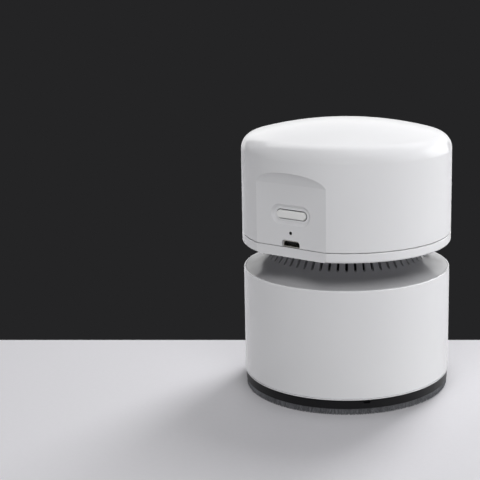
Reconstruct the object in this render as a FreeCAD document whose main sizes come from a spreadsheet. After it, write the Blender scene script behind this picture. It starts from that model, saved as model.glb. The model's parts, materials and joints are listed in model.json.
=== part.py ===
"""Desktop mini vacuum cleaner as a parametric FreeCAD document.

Frame: millimetres, +Z up, origin on the floor at the centre of the round body.
The control panel with the power button faces -Y.

The machine stands on a ring of bristles. A drum-shaped dust cup carries a head unit that lifts off it:
a slotted neck with the fan inside, and a domed head with the motor, the cell and the boards.
"""
import FreeCAD, Part
import math
import os
import Sketcher

doc = FreeCAD.newDocument("MiniVacuum")
sheet = doc.addObject("Spreadsheet::Sheet", "Sizes")
ORIGIN = FreeCAD.Vector(0, 0, 0)
UP = FreeCAD.Vector(0, 0, 1)
ALONG_Y = FreeCAD.Rotation(FreeCAD.Vector(1, 0, 0), -90)
ALONG_X = FreeCAD.Rotation(FreeCAD.Vector(0, 1, 0), 90)
nodes = []


# ---------------------------------------------------------------- sizes

class Size:
    """A length that knows its number and the sheet expression that it comes from."""

    def __init__(self, number, text):
        self.number = float(number)
        self.text = text

    def __add__(self, other):
        return join(self, "+", other)

    def __radd__(self, other):
        return join(other, "+", self)

    def __sub__(self, other):
        return join(self, "-", other)

    def __rsub__(self, other):
        return join(other, "-", self)

    def __mul__(self, other):
        return join(self, "*", other)

    def __rmul__(self, other):
        return join(other, "*", self)

    def __truediv__(self, other):
        return join(self, "/", other)

    def __neg__(self):
        return join(0, "-", self)


def as_size(amount):
    """A plain number as a Size, so that both can be mixed in a formula."""
    if isinstance(amount, Size):
        return amount
    return Size(amount, "%.9f" % amount)


def join(left, sign, right):
    """The sum, difference, product or quotient of two sizes."""
    left = as_size(left)
    right = as_size(right)
    results = {
        "+": left.number + right.number,
        "-": left.number - right.number,
        "*": left.number * right.number,
    }
    number = left.number / right.number if sign == "/" else results[sign]
    return Size(number, "(%s %s %s)" % (left.text, sign, right.text))


def root(amount):
    """The square root of a size."""
    return Size(math.sqrt(amount.number), "sqrt(%s)" % amount.text)


def size(name, number, note):
    """Write one driving dimension into the sheet and hand it back as a Size."""
    row = size.next_row
    size.next_row += 1
    sheet.set("A%d" % row, name)
    sheet.set("B%d" % row, str(number))
    sheet.set("C%d" % row, note)
    sheet.setAlias("B%d" % row, name)
    return Size(number, "Sizes.%s" % name)


size.next_row = 1

# heights, from the floor up
skirt_height = size("skirt_height", 2.25, "free length of the bristle skirt")
ring_height = size("ring_height", 3.1, "visible height of the base ring")
base_gap = size("base_gap", 0.25, "gap between the base ring and the dust cup")
cup_height = size("cup_height", 40.9, "height of the dust cup's drum")
neck_height = size("neck_height", 10.1, "height of the slotted neck")
band_height = size("band_height", 3.55, "height of the band round the head base")
parting_gap = size("parting_gap", 0.25, "shadow gap between band and cover")
cover_height = size("cover_height", 42.2, "height of the domed cover")

# radii of the outline
head_radius = size("head_radius", 40.0, "outer radius of the head")
drum_inset = size("drum_inset", 0.42, "drum's wall inside the head's wall")
ring_inset = size("ring_inset", 0.28, "base ring's rim inside the drum's wall")
skirt_inset = size("skirt_inset", 0.15, "bristle skirt inside the base ring's rim")
crown_radius = size("crown_radius", 136.0, "radius of the flat dome on the cover")
shoulder_radius = size("shoulder_radius", 6.0, "round between the cover's wall and its dome")

# walls and clearances
head_wall = size("head_wall", 2.0, "wall of the cover and the band")
cup_wall = size("cup_wall", 2.0, "wall of the drum")
thin_wall = size("thin_wall", 1.6, "wall of neck, shroud, base plate and cup floor")
base_floor = size("base_floor", 1.8, "floor of the head base")
edge_round = size("edge_round", 0.8, "round on the band's lower edge")
rim_round = size("rim_round", 0.35, "round on the drum's upper edge")
edge_break = size("edge_break", 0.2, "small bevel on outer edges")
moving_gap = size("moving_gap", 0.3, "gap between pieces that move past each other")
fit_gap = size("fit_gap", 0.15, "gap of a sliding fit between moulded pieces")
seat_gap = size("seat_gap", 0.05, "gap of a pin or screw in its hole")

# base
rim_wall = size("rim_wall", 2.6, "thickness of the base ring's rim")
intake_radius = size("intake_radius", 13.0, "hole in the base plate")
collar_wall = size("collar_wall", 1.5, "wall of that collar")
duct_lip = size("duct_lip", 1.2, "wall of the lip round the intake hole")
lug_reach = size("lug_reach", 1.3, "how far a bayonet lug stands out of its collar")
lug_height = size("lug_height", 0.7, "thickness of a bayonet lug")
lug_angle = size("lug_angle", 18.0, "arc of a bayonet lug in degrees")
tab_angle = size("tab_angle", 22.0, "arc of the tab or hook that holds a lug, in degrees")
tab_reach = size("tab_reach", 1.38, "how far a tab stands out of the drum's wall")
notch_width = size("notch_width", 2.6, "pry notch in the base ring")
notch_height = size("notch_height", 1.0, "height of the pry notch")
notch_depth = size("notch_depth", 1.2, "radial depth of the pry notch")
notch_angle = size("notch_angle", -46.4, "direction of the pry notch in degrees from +X")
skirt_width = size("skirt_width", 1.55, "radial width of the bristle skirt")
brush_offset = size("brush_offset", 15.2, "inner face of a brush strip from the centre")
brush_width = size("brush_width", 1.8, "width of a brush strip")
brush_length = size("brush_length", 24.0, "length of a brush strip")
brush_lift = size("brush_lift", 0.3, "brush strip's tip above the floor")

# dust cup
groove_rise = size("groove_rise", 0.45, "fine groove above the drum's lower edge")
groove_width = size("groove_width", 0.38, "width of that groove")
groove_depth = size("groove_depth", 0.5, "depth of that groove")
floor_rise = size("floor_rise", 2.2, "underside of the cup's floor above the drum's lower edge")
seat_depth = size("seat_depth", 1.8, "depth of the seat for the neck's flange")
seat_lip = size("seat_lip", 0.63, "drum wall outside that seat")
floor_seat = size("floor_seat", 0.6, "depth of the drum's groove that holds the cup's floor")
funnel_height = size("funnel_height", 8.4, "height of the intake funnel above the cup's floor")
funnel_step = size("funnel_step", 0.6, "funnel's bore outside the intake hole, at its foot")
funnel_taper = size("funnel_taper", 2.4, "how much the funnel's radius drops towards its top")
funnel_wall = size("funnel_wall", 1.4, "wall of the funnel")
funnel_flange = size("funnel_flange", 1.2, "how far the funnel's flange stands out")
funnel_flange_height = size("funnel_flange_height", 0.8, "thickness of that flange")

# neck
neck_waist = size("neck_waist", 12.0, "how far the neck draws in under the head")
neck_curve = size("neck_curve", 15.4, "radius of the neck's hollow curve")
neck_bore_gap = size("neck_bore_gap", 1.4, "neck's upper opening outside the impeller")
spigot_height = size("spigot_height", 4.0, "how far the spigot reaches below the drum's edge")
spigot_wall = size("spigot_wall", 1.6, "wall of the spigot")
slot_count = size("slot_count", 60, "number of exhaust slots")
slot_width = size("slot_width", 0.95, "width of an exhaust slot")
slot_phase = size("slot_phase", 2.8, "turn of the first slot from the panel's direction in degrees")
slot_rise = size("slot_rise", 4.65, "lower end of the slots above the drum's edge")
slot_margin = size("slot_margin", 0.25, "top of the slots below the neck's upper flange")
seal_height = size("seal_height", 0.9, "height of the cup seal")
seal_rise = size("seal_rise", 0.75, "seal above the spigot's lower edge")
seal_depth = size("seal_depth", 0.8, "depth of the seal's groove")

# fan
shroud_eye = size("shroud_eye", 10.0, "inlet hole of the fan shroud")
eye_lip = size("eye_lip", 1.0, "height of the lip round that hole")
blade_gap = size("blade_gap", 0.6, "gap between blades and shroud")
shroud_drop = size("shroud_drop", 1.0, "shroud's upper face below the drum's edge")
impeller_gap = size("impeller_gap", 0.9, "gap between the impeller and the posts")
impeller_drop = size("impeller_drop", 0.8, "gap between the impeller and the head base")
impeller_plate = size("impeller_plate", 1.0, "thickness of the impeller's back plate")
impeller_hub = size("impeller_hub", 4.0, "radius of the impeller's hub")
blade_inner = size("blade_inner", 8.5, "where a blade starts")
blade_curve = size("blade_curve", 16.0, "radius of a blade's curve")
blade_tip = size("blade_tip", 0.5, "blade's tip inside the impeller's edge")
blade_sweep = size("blade_sweep", 35.0, "turn of a blade from root to tip in degrees")
blade_count = size("blade_count", 11, "number of blades")
post_inset = size("post_inset", 4.2, "posts' circle inside the neck's upper edge")
post_radius = size("post_radius", 2.9, "radius of a post")

# filter
hook_inset = size("hook_inset", 2.63, "bayonet hooks inside the spigot")
hook_wall = size("hook_wall", 1.6, "wall of a bayonet hook")
hook_toe = size("hook_toe", 1.0, "thickness of a hook's toe")
filter_play = size("filter_play", 0.4, "gap between the filter's lugs and the hooks")
filter_wall = size("filter_wall", 1.5, "wall of the filter frame")
filter_ring = size("filter_ring", 1.5, "height of the filter's ring")
filter_depth = size("filter_depth", 18.1, "height of the filter's basket below its ring")
filter_taper = size("filter_taper", 7.5, "how much the basket draws in towards its foot")
filter_floor = size("filter_floor", 1.2, "thickness of the basket's floor")
filter_lug = size("filter_lug", 1.7, "how far a filter lug stands out")
window_count = size("window_count", 12, "windows in the basket")
window_top = size("window_top", 10.4, "width of a window at its top")
window_foot = size("window_foot", 7.0, "width of a window at its foot")
window_margin = size("window_margin", 2.0, "basket above and below a window")
mesh_thickness = size("mesh_thickness", 0.6, "thickness of the filter cloth")
gasket_height = size("gasket_height", 0.3, "thickness of the filter's gasket")
gasket_width = size("gasket_width", 2.4, "radial width of the filter's gasket")

# head base and cover
register_height = size("register_height", 1.85, "lip that centres the cover")
register_wall = size("register_wall", 1.4, "thickness of that lip")
cover_boss_inset = size("cover_boss_inset", 4.7, "circle of the cover's screws inside its wall")
cover_boss_radius = size("cover_boss_radius", 3.0, "radius of a cover boss")
cover_boss_height = size("cover_boss_height", 19.5, "height of a cover boss")
stack_boss_height = size("stack_boss_height", 3.4, "height of the bosses over the posts")
stack_boss_radius = size("stack_boss_radius", 2.6, "radius of those bosses")
panel_cut = size("panel_cut", 3.0, "depth of the flat control panel's cut into the head")
panel_top = size("panel_top", 22.8, "top of the flat panel above the cover's edge")
panel_roof = size("panel_roof", 4.85, "rise of the panel's curved roof from the panel to the head's outline")
panel_roof_curve = size("panel_roof_curve", 8.5, "radius of that roof")
cut_excess = size("cut_excess", 1.0, "how far a cutting shape runs past what it cuts")

# control panel
button_rise = size("button_rise", 11.8, "button's centre above the cover's edge")
button_width = size("button_width", 12.7, "width of the button")
button_height = size("button_height", 3.0, "height of the button")
button_gap = size("button_gap", 0.3, "gap round the button")
well_width = size("well_width", 17.2, "width of the recess round the button")
well_height = size("well_height", 7.5, "height of that recess")
well_slope = size("well_slope", 1.1, "width of the recess's sloping edge")
well_depth = size("well_depth", 0.8, "depth of that recess")
button_inset = size("button_inset", 0.1, "button's face behind the panel")
button_round = size("button_round", 0.45, "round on the button's face")
button_travel = size("button_travel", 0.6, "stroke of the button")
flange_margin = size("flange_margin", 1.2, "button's flange beyond its cap")
flange_thickness = size("flange_thickness", 1.0, "thickness of that flange")
stem_radius = size("stem_radius", 1.6, "radius of the button's stem")
stem_length = size("stem_length", 1.1, "length of the button's stem")
press_gap = size("press_gap", 0.1, "gap between stem and plunger")
plunger_radius = size("plunger_radius", 1.75, "radius of the switch's plunger")
plunger_length = size("plunger_length", 1.4, "length of the switch's plunger")
plunger_show = size("plunger_show", 0.9, "plunger in front of the switch")
switch_side = size("switch_side", 6.0, "side of the tact switch")
switch_depth = size("switch_depth", 3.5, "depth of the tact switch")
led_rise = size("led_rise", 5.2, "indicator's centre above the cover's edge")
pipe_radius = size("pipe_radius", 0.57, "radius of the light pipe at the panel")
pipe_back_radius = size("pipe_back_radius", 1.1, "radius of the light pipe inside")
led_size = size("led_size", 0.8, "thickness of the indicator LED")

# charging port and boards
port_play = size("port_play", 0.2, "port notch outside the socket's shell")
port_round = size("port_round", 1.3, "round in the upper corners of notch and shell")
socket_width = size("socket_width", 7.4, "width of the micro-USB shell")
socket_height = size("socket_height", 2.45, "height of the micro-USB shell")
socket_length = size("socket_length", 5.6, "length of the micro-USB shell")
socket_sheet = size("socket_sheet", 0.3, "sheet thickness of that shell")
socket_inset = size("socket_inset", 0.65, "socket's mouth behind the panel")
socket_drop = size("socket_drop", 0.1, "socket's foot below the cover's edge")
tongue_width = size("tongue_width", 3.7, "width of the socket's tongue")
tongue_thickness = size("tongue_thickness", 0.6, "thickness of the socket's tongue")
tongue_inset = size("tongue_inset", 0.8, "tongue's tip inside the socket's mouth")
board_thickness = size("board_thickness", 1.2, "thickness of both circuit boards")
board_width = size("board_width", 26.0, "width of the main board")
board_inset = size("board_inset", 3.45, "main board's front edge behind the panel")
board_depth = size("board_depth", 16.0, "depth of the main board")
panel_board_width = size("panel_board_width", 18.0, "width of the switch board")
panel_board_height = size("panel_board_height", 16.7, "height of the switch board")
header_width = size("header_width", 10.2, "width of the link header")
header_side = size("header_side", 2.5, "depth and height of the link header")
chip_gap = size("chip_gap", 0.9, "gap round the parts on the main board")
chip_side = size("chip_side", 4.5, "side of the charging chip")
chip_height = size("chip_height", 1.2, "height of the chips and capacitors")
boost_side = size("boost_side", 3.0, "side of the boost chip")
coil_side = size("coil_side", 3.0, "side of the inductor")
coil_height = size("coil_height", 2.6, "height of the inductor")
capacitor_width = size("capacitor_width", 1.0, "width of a capacitor")
capacitor_depth = size("capacitor_depth", 1.8, "length of a capacitor")
lead_row_inset = size("lead_row_inset", 13.6, "row of solder points behind the board's front edge")
lead_radius = size("lead_radius", 0.5, "radius of a lead")
lead_bend = size("lead_bend", 1.5, "bend radius of a lead")
lead_edge = size("lead_edge", 1.5, "cell's solder points inside the board's side edge")
lead_straight = size("lead_straight", 0.3, "straight end of a lead above a terminal")

# motor
motor_radius = size("motor_radius", 12.0, "radius of the motor can")
motor_length = size("motor_length", 28.0, "length of the motor can")
motor_sheet = size("motor_sheet", 1.0, "sheet thickness of the can")
motor_boss_radius = size("motor_boss_radius", 3.4, "radius of the bearing boss")
motor_boss_length = size("motor_boss_length", 1.6, "length of the bearing boss")
shaft_radius = size("shaft_radius", 1.0, "radius of the motor shaft")
shaft_gap = size("shaft_gap", 0.04, "running clearance of the shaft")
shaft_end = size("shaft_end", 0.4, "shaft's end below the end cap's face")
bush_wall = size("bush_wall", 1.4, "wall of a bearing bush")
magnet_thickness = size("magnet_thickness", 1.7, "thickness of a magnet")
magnet_length = size("magnet_length", 18.0, "length of a magnet")
air_gap = size("air_gap", 0.7, "gap between the magnets and the armature")
armature_length = size("armature_length", 13.0, "length of the armature")
commutator_radius = size("commutator_radius", 2.6, "radius of the commutator")
commutator_length = size("commutator_length", 3.0, "length of the commutator")
commutator_gap = size("commutator_gap", 2.5, "commutator below the motor's end cap")
cap_thickness = size("cap_thickness", 3.2, "thickness of the motor's end cap")
cap_stand = size("cap_stand", 1.2, "end cap above the can's rim")
terminal_offset = size("terminal_offset", 4.5, "terminal from the axis")
terminal_height = size("terminal_height", 3.0, "height of a terminal")
terminal_width = size("terminal_width", 2.0, "width of a terminal")
motor_screw_circle = size("motor_screw_circle", 8.0, "circle of the motor's screws")

# cell
cell_radius = size("cell_radius", 7.0, "radius of the lithium cell")
cell_margin = size("cell_margin", 1.83, "room for the contact tabs and leads at each end of the cell")
cell_gap = size("cell_gap", 1.4, "gap between the motor and the cell")
cell_lift = size("cell_lift", 4.6, "cell above the head base's floor")
saddle_offset = size("saddle_offset", 13.0, "saddle's middle from the centre")
saddle_width = size("saddle_width", 5.0, "width of a saddle along the cell")
saddle_depth = size("saddle_depth", 12.0, "depth of a saddle across the cell")
saddle_grip = size("saddle_grip", 3.0, "how far a saddle wraps up the cell")
tab_side = size("tab_side", 6.0, "side of a cell's contact tab")
tab_sheet = size("tab_sheet", 0.4, "thickness of a contact tab")
lead_side_run = size("lead_side_run", 3.2, "lead's run out from a contact tab")
lead_top = size("lead_top", 10.0, "height of the cell's leads over the cell's axis")

# screws
stack_screw_radius = size("stack_screw_radius", 1.3, "thread radius of the stack screws")
cover_screw_radius = size("cover_screw_radius", 1.3, "thread radius of the cover screws")
cover_screw_bite = size("cover_screw_bite", 9.0, "length of a cover screw in its boss")
motor_screw_radius = size("motor_screw_radius", 1.0, "thread radius of the motor screws")
board_screw_radius = size("board_screw_radius", 0.85, "thread radius of the board screws")
head_margin = size("head_margin", 0.75, "how far a screw's head stands out of its thread")
head_height = size("head_height", 0.9, "height of a screw head")
cross_width = size("cross_width", 0.4, "width of the cross in a screw head")
cross_depth = size("cross_depth", 0.5, "depth of that cross")
board_screw_edge = size("board_screw_edge", 2.5, "board screws inside the board's side edges")
board_screw_inset = size("board_screw_inset", 3.6, "board screws behind the board's front edge")
screw_end = size("screw_end", 1.0, "free depth beyond a screw's tip")
screw_show = size("screw_show", 0.6, "motor screw's tip inside the can")
board_bite = size("board_bite", 1.2, "board screw's bite in the head base's floor")
board_screw_floor = size("board_screw_floor", 0.3, "floor left under a board screw's hole")
pipe_recess = size("pipe_recess", 0.7, "light pipe's face behind the panel")

# ---------------------------------------------------------------- levels worked out from the sizes

cup_radius = head_radius - drum_inset
ring_radius = cup_radius - ring_inset
skirt_radius = ring_radius - skirt_inset
ring_top = skirt_height + ring_height
cup_bottom = ring_top + base_gap
cup_top = cup_bottom + cup_height
neck_top = cup_top + neck_height
band_top = neck_top + band_height
cover_bottom = band_top + parting_gap
total_height = cover_bottom + cover_height
base_floor_top = neck_top + base_floor
cup_bore = cup_radius - cup_wall
cup_floor_bottom = cup_bottom + floor_rise
cup_floor_top = cup_floor_bottom + thin_wall
collar_top = cup_floor_bottom - moving_gap
collar_radius = cup_bore - tab_reach - moving_gap
spigot_radius = cup_bore - fit_gap
spigot_bore = spigot_radius - spigot_wall
spigot_bottom = cup_top - spigot_height
shroud_top = cup_top - shroud_drop
shroud_bottom = shroud_top - thin_wall
impeller_bottom = shroud_top + blade_gap
impeller_top = neck_top - impeller_drop
neck_top_radius = head_radius - neck_waist
post_circle = neck_top_radius - post_inset
impeller_radius = post_circle - post_radius - impeller_gap
neck_bore = impeller_radius + neck_bore_gap
hook_reach = spigot_bore - hook_inset
filter_radius = hook_reach - hook_wall - filter_play - filter_lug
filter_foot = filter_radius - filter_taper
funnel_bore = intake_radius + funnel_step
funnel_radius = funnel_bore + funnel_wall
filter_top = shroud_bottom - moving_gap / 2 - gasket_height
filter_ring_bottom = filter_top - filter_ring
filter_floor_bottom = filter_ring_bottom - filter_depth
board_top = cover_bottom - socket_drop
board_bottom = board_top - board_thickness
board_lift = board_bottom - base_floor_top
port_top = board_top + socket_height + port_play
cover_boss_circle = head_radius - cover_boss_inset
panel_distance = head_radius - panel_cut
board_front = panel_distance - board_inset
lead_row = board_front - lead_row_inset
board_screw_side = board_width / 2 - board_screw_edge
board_screw_row = board_front - board_screw_inset
button_level = cover_bottom + button_rise
led_level = cover_bottom + led_rise
panel_inside = panel_distance - head_wall
button_face = panel_distance - button_inset
flange_front = panel_inside - moving_gap
flange_back = flange_front - flange_thickness
stem_end = flange_back - stem_length
plunger_front = stem_end - press_gap
switch_front = plunger_front - plunger_show
switch_back = switch_front - switch_depth
panel_board_back = switch_back - board_thickness
armature_radius = motor_radius - motor_sheet - magnet_thickness - air_gap
cell_level = base_floor_top + cell_lift + cell_radius
cell_back = motor_radius + cell_gap + cell_radius
cell_reach = cell_back + cell_radius
cell_room = head_radius - head_wall
cell_half = root(cell_room * cell_room - cell_reach * cell_reach) - cell_margin
cell_length = cell_half * 2
motor_top = base_floor_top + motor_length
motor_cap_bottom = motor_top + cap_stand - cap_thickness
armature_top = motor_cap_bottom - commutator_gap - commutator_length
armature_bottom = armature_top - armature_length
magnet_bottom = armature_bottom - (magnet_length - armature_length) / 2

SAME_PLACE = 0.0001
POST_DIRECTIONS = (90, 210, 330)
SCREW_SIDES = (-1, 1)


def polar(radius, degrees):
    """The x and y of a point on a circle."""
    turn = math.radians(degrees)
    return radius * round(math.cos(turn), 9), radius * round(math.sin(turn), 9)


# ---------------------------------------------------------------- helpers that build bound features

def bind(item, prop, amount):
    """Tie a property to the sheet."""
    item.setExpression(prop, as_size(amount).text)


def place(item, x=0, y=0, z=0, rotation=None):
    """Set an object's place, each coordinate tied to the sheet."""
    item.Placement = FreeCAD.Placement(ORIGIN, rotation or FreeCAD.Rotation())
    bind(item, "Placement.Base.x", x)
    bind(item, "Placement.Base.y", y)
    bind(item, "Placement.Base.z", z)
    return item


def origin_feature(body, role):
    """A plane or axis of a body's own origin, by its role."""
    return [item for item in body.Origin.OriginFeatures if item.Role == role][0]


def new_body(label):
    """A PartDesign body with its node name."""
    body = doc.addObject("PartDesign::Body", "Body_" + label)
    body.Label = label
    return body


def new_sketch(body, name, plane="XZ_Plane", offset=0, turn=None):
    """A sketch on one of the body's origin planes, moved along that plane's normal.

    turn swings an upright sketch about the vertical axis, in degrees.
    """
    sketch = body.newObject("Sketcher::SketchObject", name)
    sketch.AttachmentSupport = [(origin_feature(body, plane), "")]
    sketch.MapMode = "FlatFace"
    if turn is None:
        bind(sketch, "AttachmentOffset.Base.z", offset)
        return sketch
    upright = FreeCAD.Rotation(FreeCAD.Vector(0, 1, 0), turn.number)
    sketch.AttachmentOffset = FreeCAD.Placement(ORIGIN, upright)
    sketch.setExpression("AttachmentOffset.Rotation.Angle", turn.text)
    sketch.setExpression("AttachmentOffset.Base.x", "%s * sin(%s)" % (offset.text, turn.text))
    sketch.setExpression("AttachmentOffset.Base.z", "%s * cos(%s)" % (offset.text, turn.text))
    return sketch


def pin_point(sketch, geometry, position, x, y):
    """Fix a point of the sketch at x and y, which may be sizes."""
    for kind, amount in (("DistanceX", as_size(x)), ("DistanceY", as_size(y))):
        index = sketch.addConstraint(
            Sketcher.Constraint(kind, -1, 1, geometry, position, amount.number))
        sketch.setExpression("Constraints[%d]" % index, amount.text)


def arc_between(start, end, radius, turn):
    """The short arc from start to end; turn is 1 for anticlockwise travel and -1 for clockwise."""
    chord = end - start
    middle = (start + end) * 0.5
    side = FreeCAD.Vector(-chord.y, chord.x, 0)
    reach = math.sqrt(max(radius * radius - chord.Length ** 2 / 4, 0.0)) / chord.Length
    centre = middle + side * (reach * turn)
    first, last = (start, end) if turn > 0 else (end, start)
    angles = [math.atan2(point.y - centre.y, point.x - centre.x) for point in (first, last)]
    if angles[1] < angles[0]:
        angles[1] += 2 * math.pi
    return Part.ArcOfCircle(Part.Circle(centre, UP, radius), angles[0], angles[1])


def outline(sketch, corners, arcs=None):
    """Draw a closed loop through the corners.

    arcs maps the number of a side to (radius, turn); every other side is straight.
    """
    arcs = arcs or {}
    points = [FreeCAD.Vector(as_size(x).number, as_size(y).number, 0) for x, y in corners]
    ends = []
    for number, start in enumerate(points):
        end = points[(number + 1) % len(points)]
        if number in arcs:
            radius, turn = arcs[number]
            radius = as_size(radius)
            side = sketch.addGeometry(arc_between(start, end, radius.number, turn))
            index = sketch.addConstraint(Sketcher.Constraint("Radius", side, radius.number))
            sketch.setExpression("Constraints[%d]" % index, radius.text)
            ends.append((side, 1, 2) if turn > 0 else (side, 2, 1))
        else:
            side = sketch.addGeometry(Part.LineSegment(start, end))
            ends.append((side, 1, 2))
    for number, (side, first, _) in enumerate(ends):
        before, _, last = ends[number - 1]
        sketch.addConstraint(Sketcher.Constraint("Coincident", before, last, side, first))
        pin_point(sketch, side, first, corners[number][0], corners[number][1])
    if sketch.solve() != 0:
        raise RuntimeError("%s does not solve" % sketch.Name)


def circle(sketch, x, y, radius):
    """Draw a circle with its centre and radius tied to the sheet."""
    radius = as_size(radius)
    centre = FreeCAD.Vector(as_size(x).number, as_size(y).number, 0)
    side = sketch.addGeometry(Part.Circle(centre, UP, radius.number))
    index = sketch.addConstraint(Sketcher.Constraint("Radius", side, radius.number))
    sketch.setExpression("Constraints[%d]" % index, radius.text)
    pin_point(sketch, side, 3, x, y)


def rectangle(sketch, left, right, bottom, top):
    """Draw a rectangle between two corners."""
    outline(sketch, [(left, bottom), (right, bottom), (right, top), (left, top)])


def stadium(sketch, width, height, middle):
    """Draw a pill shape centred on the sketch's vertical axis."""
    straight = (width - height) / 2
    half = height / 2
    left_edge = straight + half
    outline(
        sketch,
        [(-straight, middle - half), (straight, middle - half), (left_edge, middle),
         (straight, middle + half), (-straight, middle + half), (-left_edge, middle)],
        {1: (half, 1), 2: (half, 1), 4: (half, 1), 5: (half, 1)})


def arched(sketch, width, bottom, top, corner):
    """Draw a rectangle with rounded upper corners, centred on the sketch's vertical axis."""
    half = width / 2
    outline(
        sketch,
        [(-half, bottom), (half, bottom), (half, top - corner), (half - corner, top),
         (-half + corner, top), (-half, top - corner)],
        {2: (corner, 1), 4: (corner, 1)})


def revolve(body, sketch, name, angle=360):
    """Turn a sketch about the vertical axis, half of the angle to each side."""
    feature = body.newObject("PartDesign::Revolution", name)
    feature.Profile = sketch
    feature.ReferenceAxis = (sketch, ["V_Axis"])
    bind(feature, "Angle", angle)
    feature.Midplane = as_size(angle).number < 360
    doc.recompute()
    return feature


def extrude(body, sketch, name, length, cut=False, both_sides=False, reverse=False):
    """Pad or pocket a sketch by a length."""
    kind = "PartDesign::Pocket" if cut else "PartDesign::Pad"
    before = body.Shape.Volume if cut else 0.0
    feature = body.newObject(kind, name)
    feature.Profile = sketch
    feature.Type = "Length"
    bind(feature, "Length", length)
    feature.Midplane = both_sides
    feature.Reversed = reverse
    doc.recompute()
    if cut and body.Shape.Volume > before - 1e-6:
        raise RuntimeError("%s removes nothing from %s" % (name, body.Label))
    return feature


def repeat(body, feature, count):
    """Copy a feature round the vertical axis."""
    pattern = body.newObject("PartDesign::PolarPattern", feature.Name + "_Pattern")
    pattern.Originals = [feature]
    pattern.Axis = (origin_feature(body, "Z_Axis"), [""])
    pattern.Angle = 360
    bind(pattern, "Occurrences", count)
    body.Tip = pattern
    doc.recompute()
    return pattern


def cylinder(name, radius, height, x=0, y=0, z=0, rotation=None):
    """A Part cylinder tied to the sheet."""
    item = doc.addObject("Part::Cylinder", name)
    bind(item, "Radius", radius)
    bind(item, "Height", height)
    return place(item, x, y, z, rotation)


def block(name, x, y, z):
    """A Part box between two limits on each axis; each argument is a pair (low, high)."""
    item = doc.addObject("Part::Box", name)
    bind(item, "Length", as_size(x[1]) - x[0])
    bind(item, "Width", as_size(y[1]) - y[0])
    bind(item, "Height", as_size(z[1]) - z[0])
    return place(item, x[0], y[0], z[0])


def fuse(name, items):
    """One solid from several that touch or overlap."""
    item = doc.addObject("Part::MultiFuse", name)
    item.Shapes = items
    item.Refine = True
    return item


def cut(name, base, tool):
    """The base without the tool."""
    item = doc.addObject("Part::Cut", name)
    item.Base = base
    item.Tool = tool
    return item


def group(name, items):
    """Several separate solids that share one node."""
    item = doc.addObject("Part::Compound", name)
    item.Links = items
    return item


def tube(name, outer, inner, height, z):
    """A round tube on the vertical axis."""
    return cut(name,
               cylinder(name + "_Outside", outer, height, z=z),
               cylinder(name + "_Bore", inner, height, z=z))


def node(item, label):
    """Name a finished sub-part and put it on the list to be written."""
    item.Label = label
    nodes.append(item)
    return item


# ---------------------------------------------------------------- base, under the cup

def make_base_ring():
    """Bottom ring: floor plate with the intake hole, rim, collar and three lugs."""
    body = new_body("base_ring")
    plate_bottom = ring_top - thin_wall
    collar_bore = collar_radius - collar_wall
    profile = new_sketch(body, "RingProfile")
    outline(profile, [
        (intake_radius, plate_bottom),
        (ring_radius - rim_wall, plate_bottom),
        (ring_radius - rim_wall, skirt_height),
        (ring_radius - edge_break, skirt_height),
        (ring_radius, skirt_height + edge_break),
        (ring_radius, ring_top - edge_break),
        (ring_radius - edge_break, ring_top),
        (collar_radius, ring_top),
        (collar_radius, collar_top),
        (collar_bore, collar_top),
        (collar_bore, ring_top),
        (intake_radius + duct_lip, ring_top),
        (intake_radius + duct_lip, collar_top),
        (intake_radius, collar_top)])
    revolve(body, profile, "Ring")
    lug = new_sketch(body, "LugProfile")
    rectangle(lug, collar_radius - collar_wall / 2, collar_radius + lug_reach,
              collar_top - lug_height, collar_top)
    repeat(body, revolve(body, lug, "Lug", lug_angle), 3)
    notch = new_sketch(body, "NotchProfile", "XY_Plane", ring_top - notch_height)
    across_x, across_y = polar(1.0, notch_angle.number + 90)
    out_x, out_y = polar(1.0, notch_angle.number)
    inner = ring_radius - notch_depth
    outer = ring_radius + cut_excess
    half = notch_width / 2
    outline(notch, [
        (inner * out_x - half * across_x, inner * out_y - half * across_y),
        (outer * out_x - half * across_x, outer * out_y - half * across_y),
        (outer * out_x + half * across_x, outer * out_y + half * across_y),
        (inner * out_x + half * across_x, inner * out_y + half * across_y)])
    extrude(body, notch, "Notch", notch_height, cut=True, reverse=True)
    node(body, "base_ring")


def make_bristle_skirt():
    """Ring of bristles that the machine stands on, as one closed ring."""
    body = new_body("bristle_skirt")
    profile = new_sketch(body, "SkirtProfile")
    rectangle(profile, skirt_radius - skirt_width, skirt_radius, 0, skirt_height)
    revolve(body, profile, "Skirt")
    node(body, "bristle_skirt")


def make_intake_brush():
    """Two bristle strips under the base plate, one each side of the intake."""
    strips = []
    for side in SCREW_SIDES:
        inner = brush_offset * side
        outer = (brush_offset + brush_width) * side
        limits = (inner, outer) if side > 0 else (outer, inner)
        strips.append(block("BrushStrip_%d" % (side + 2), limits,
                            (-brush_length / 2, brush_length / 2),
                            (brush_lift, ring_top - thin_wall)))
    node(group("BrushStrips", strips), "intake_brush")


# ---------------------------------------------------------------- dust cup

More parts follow.
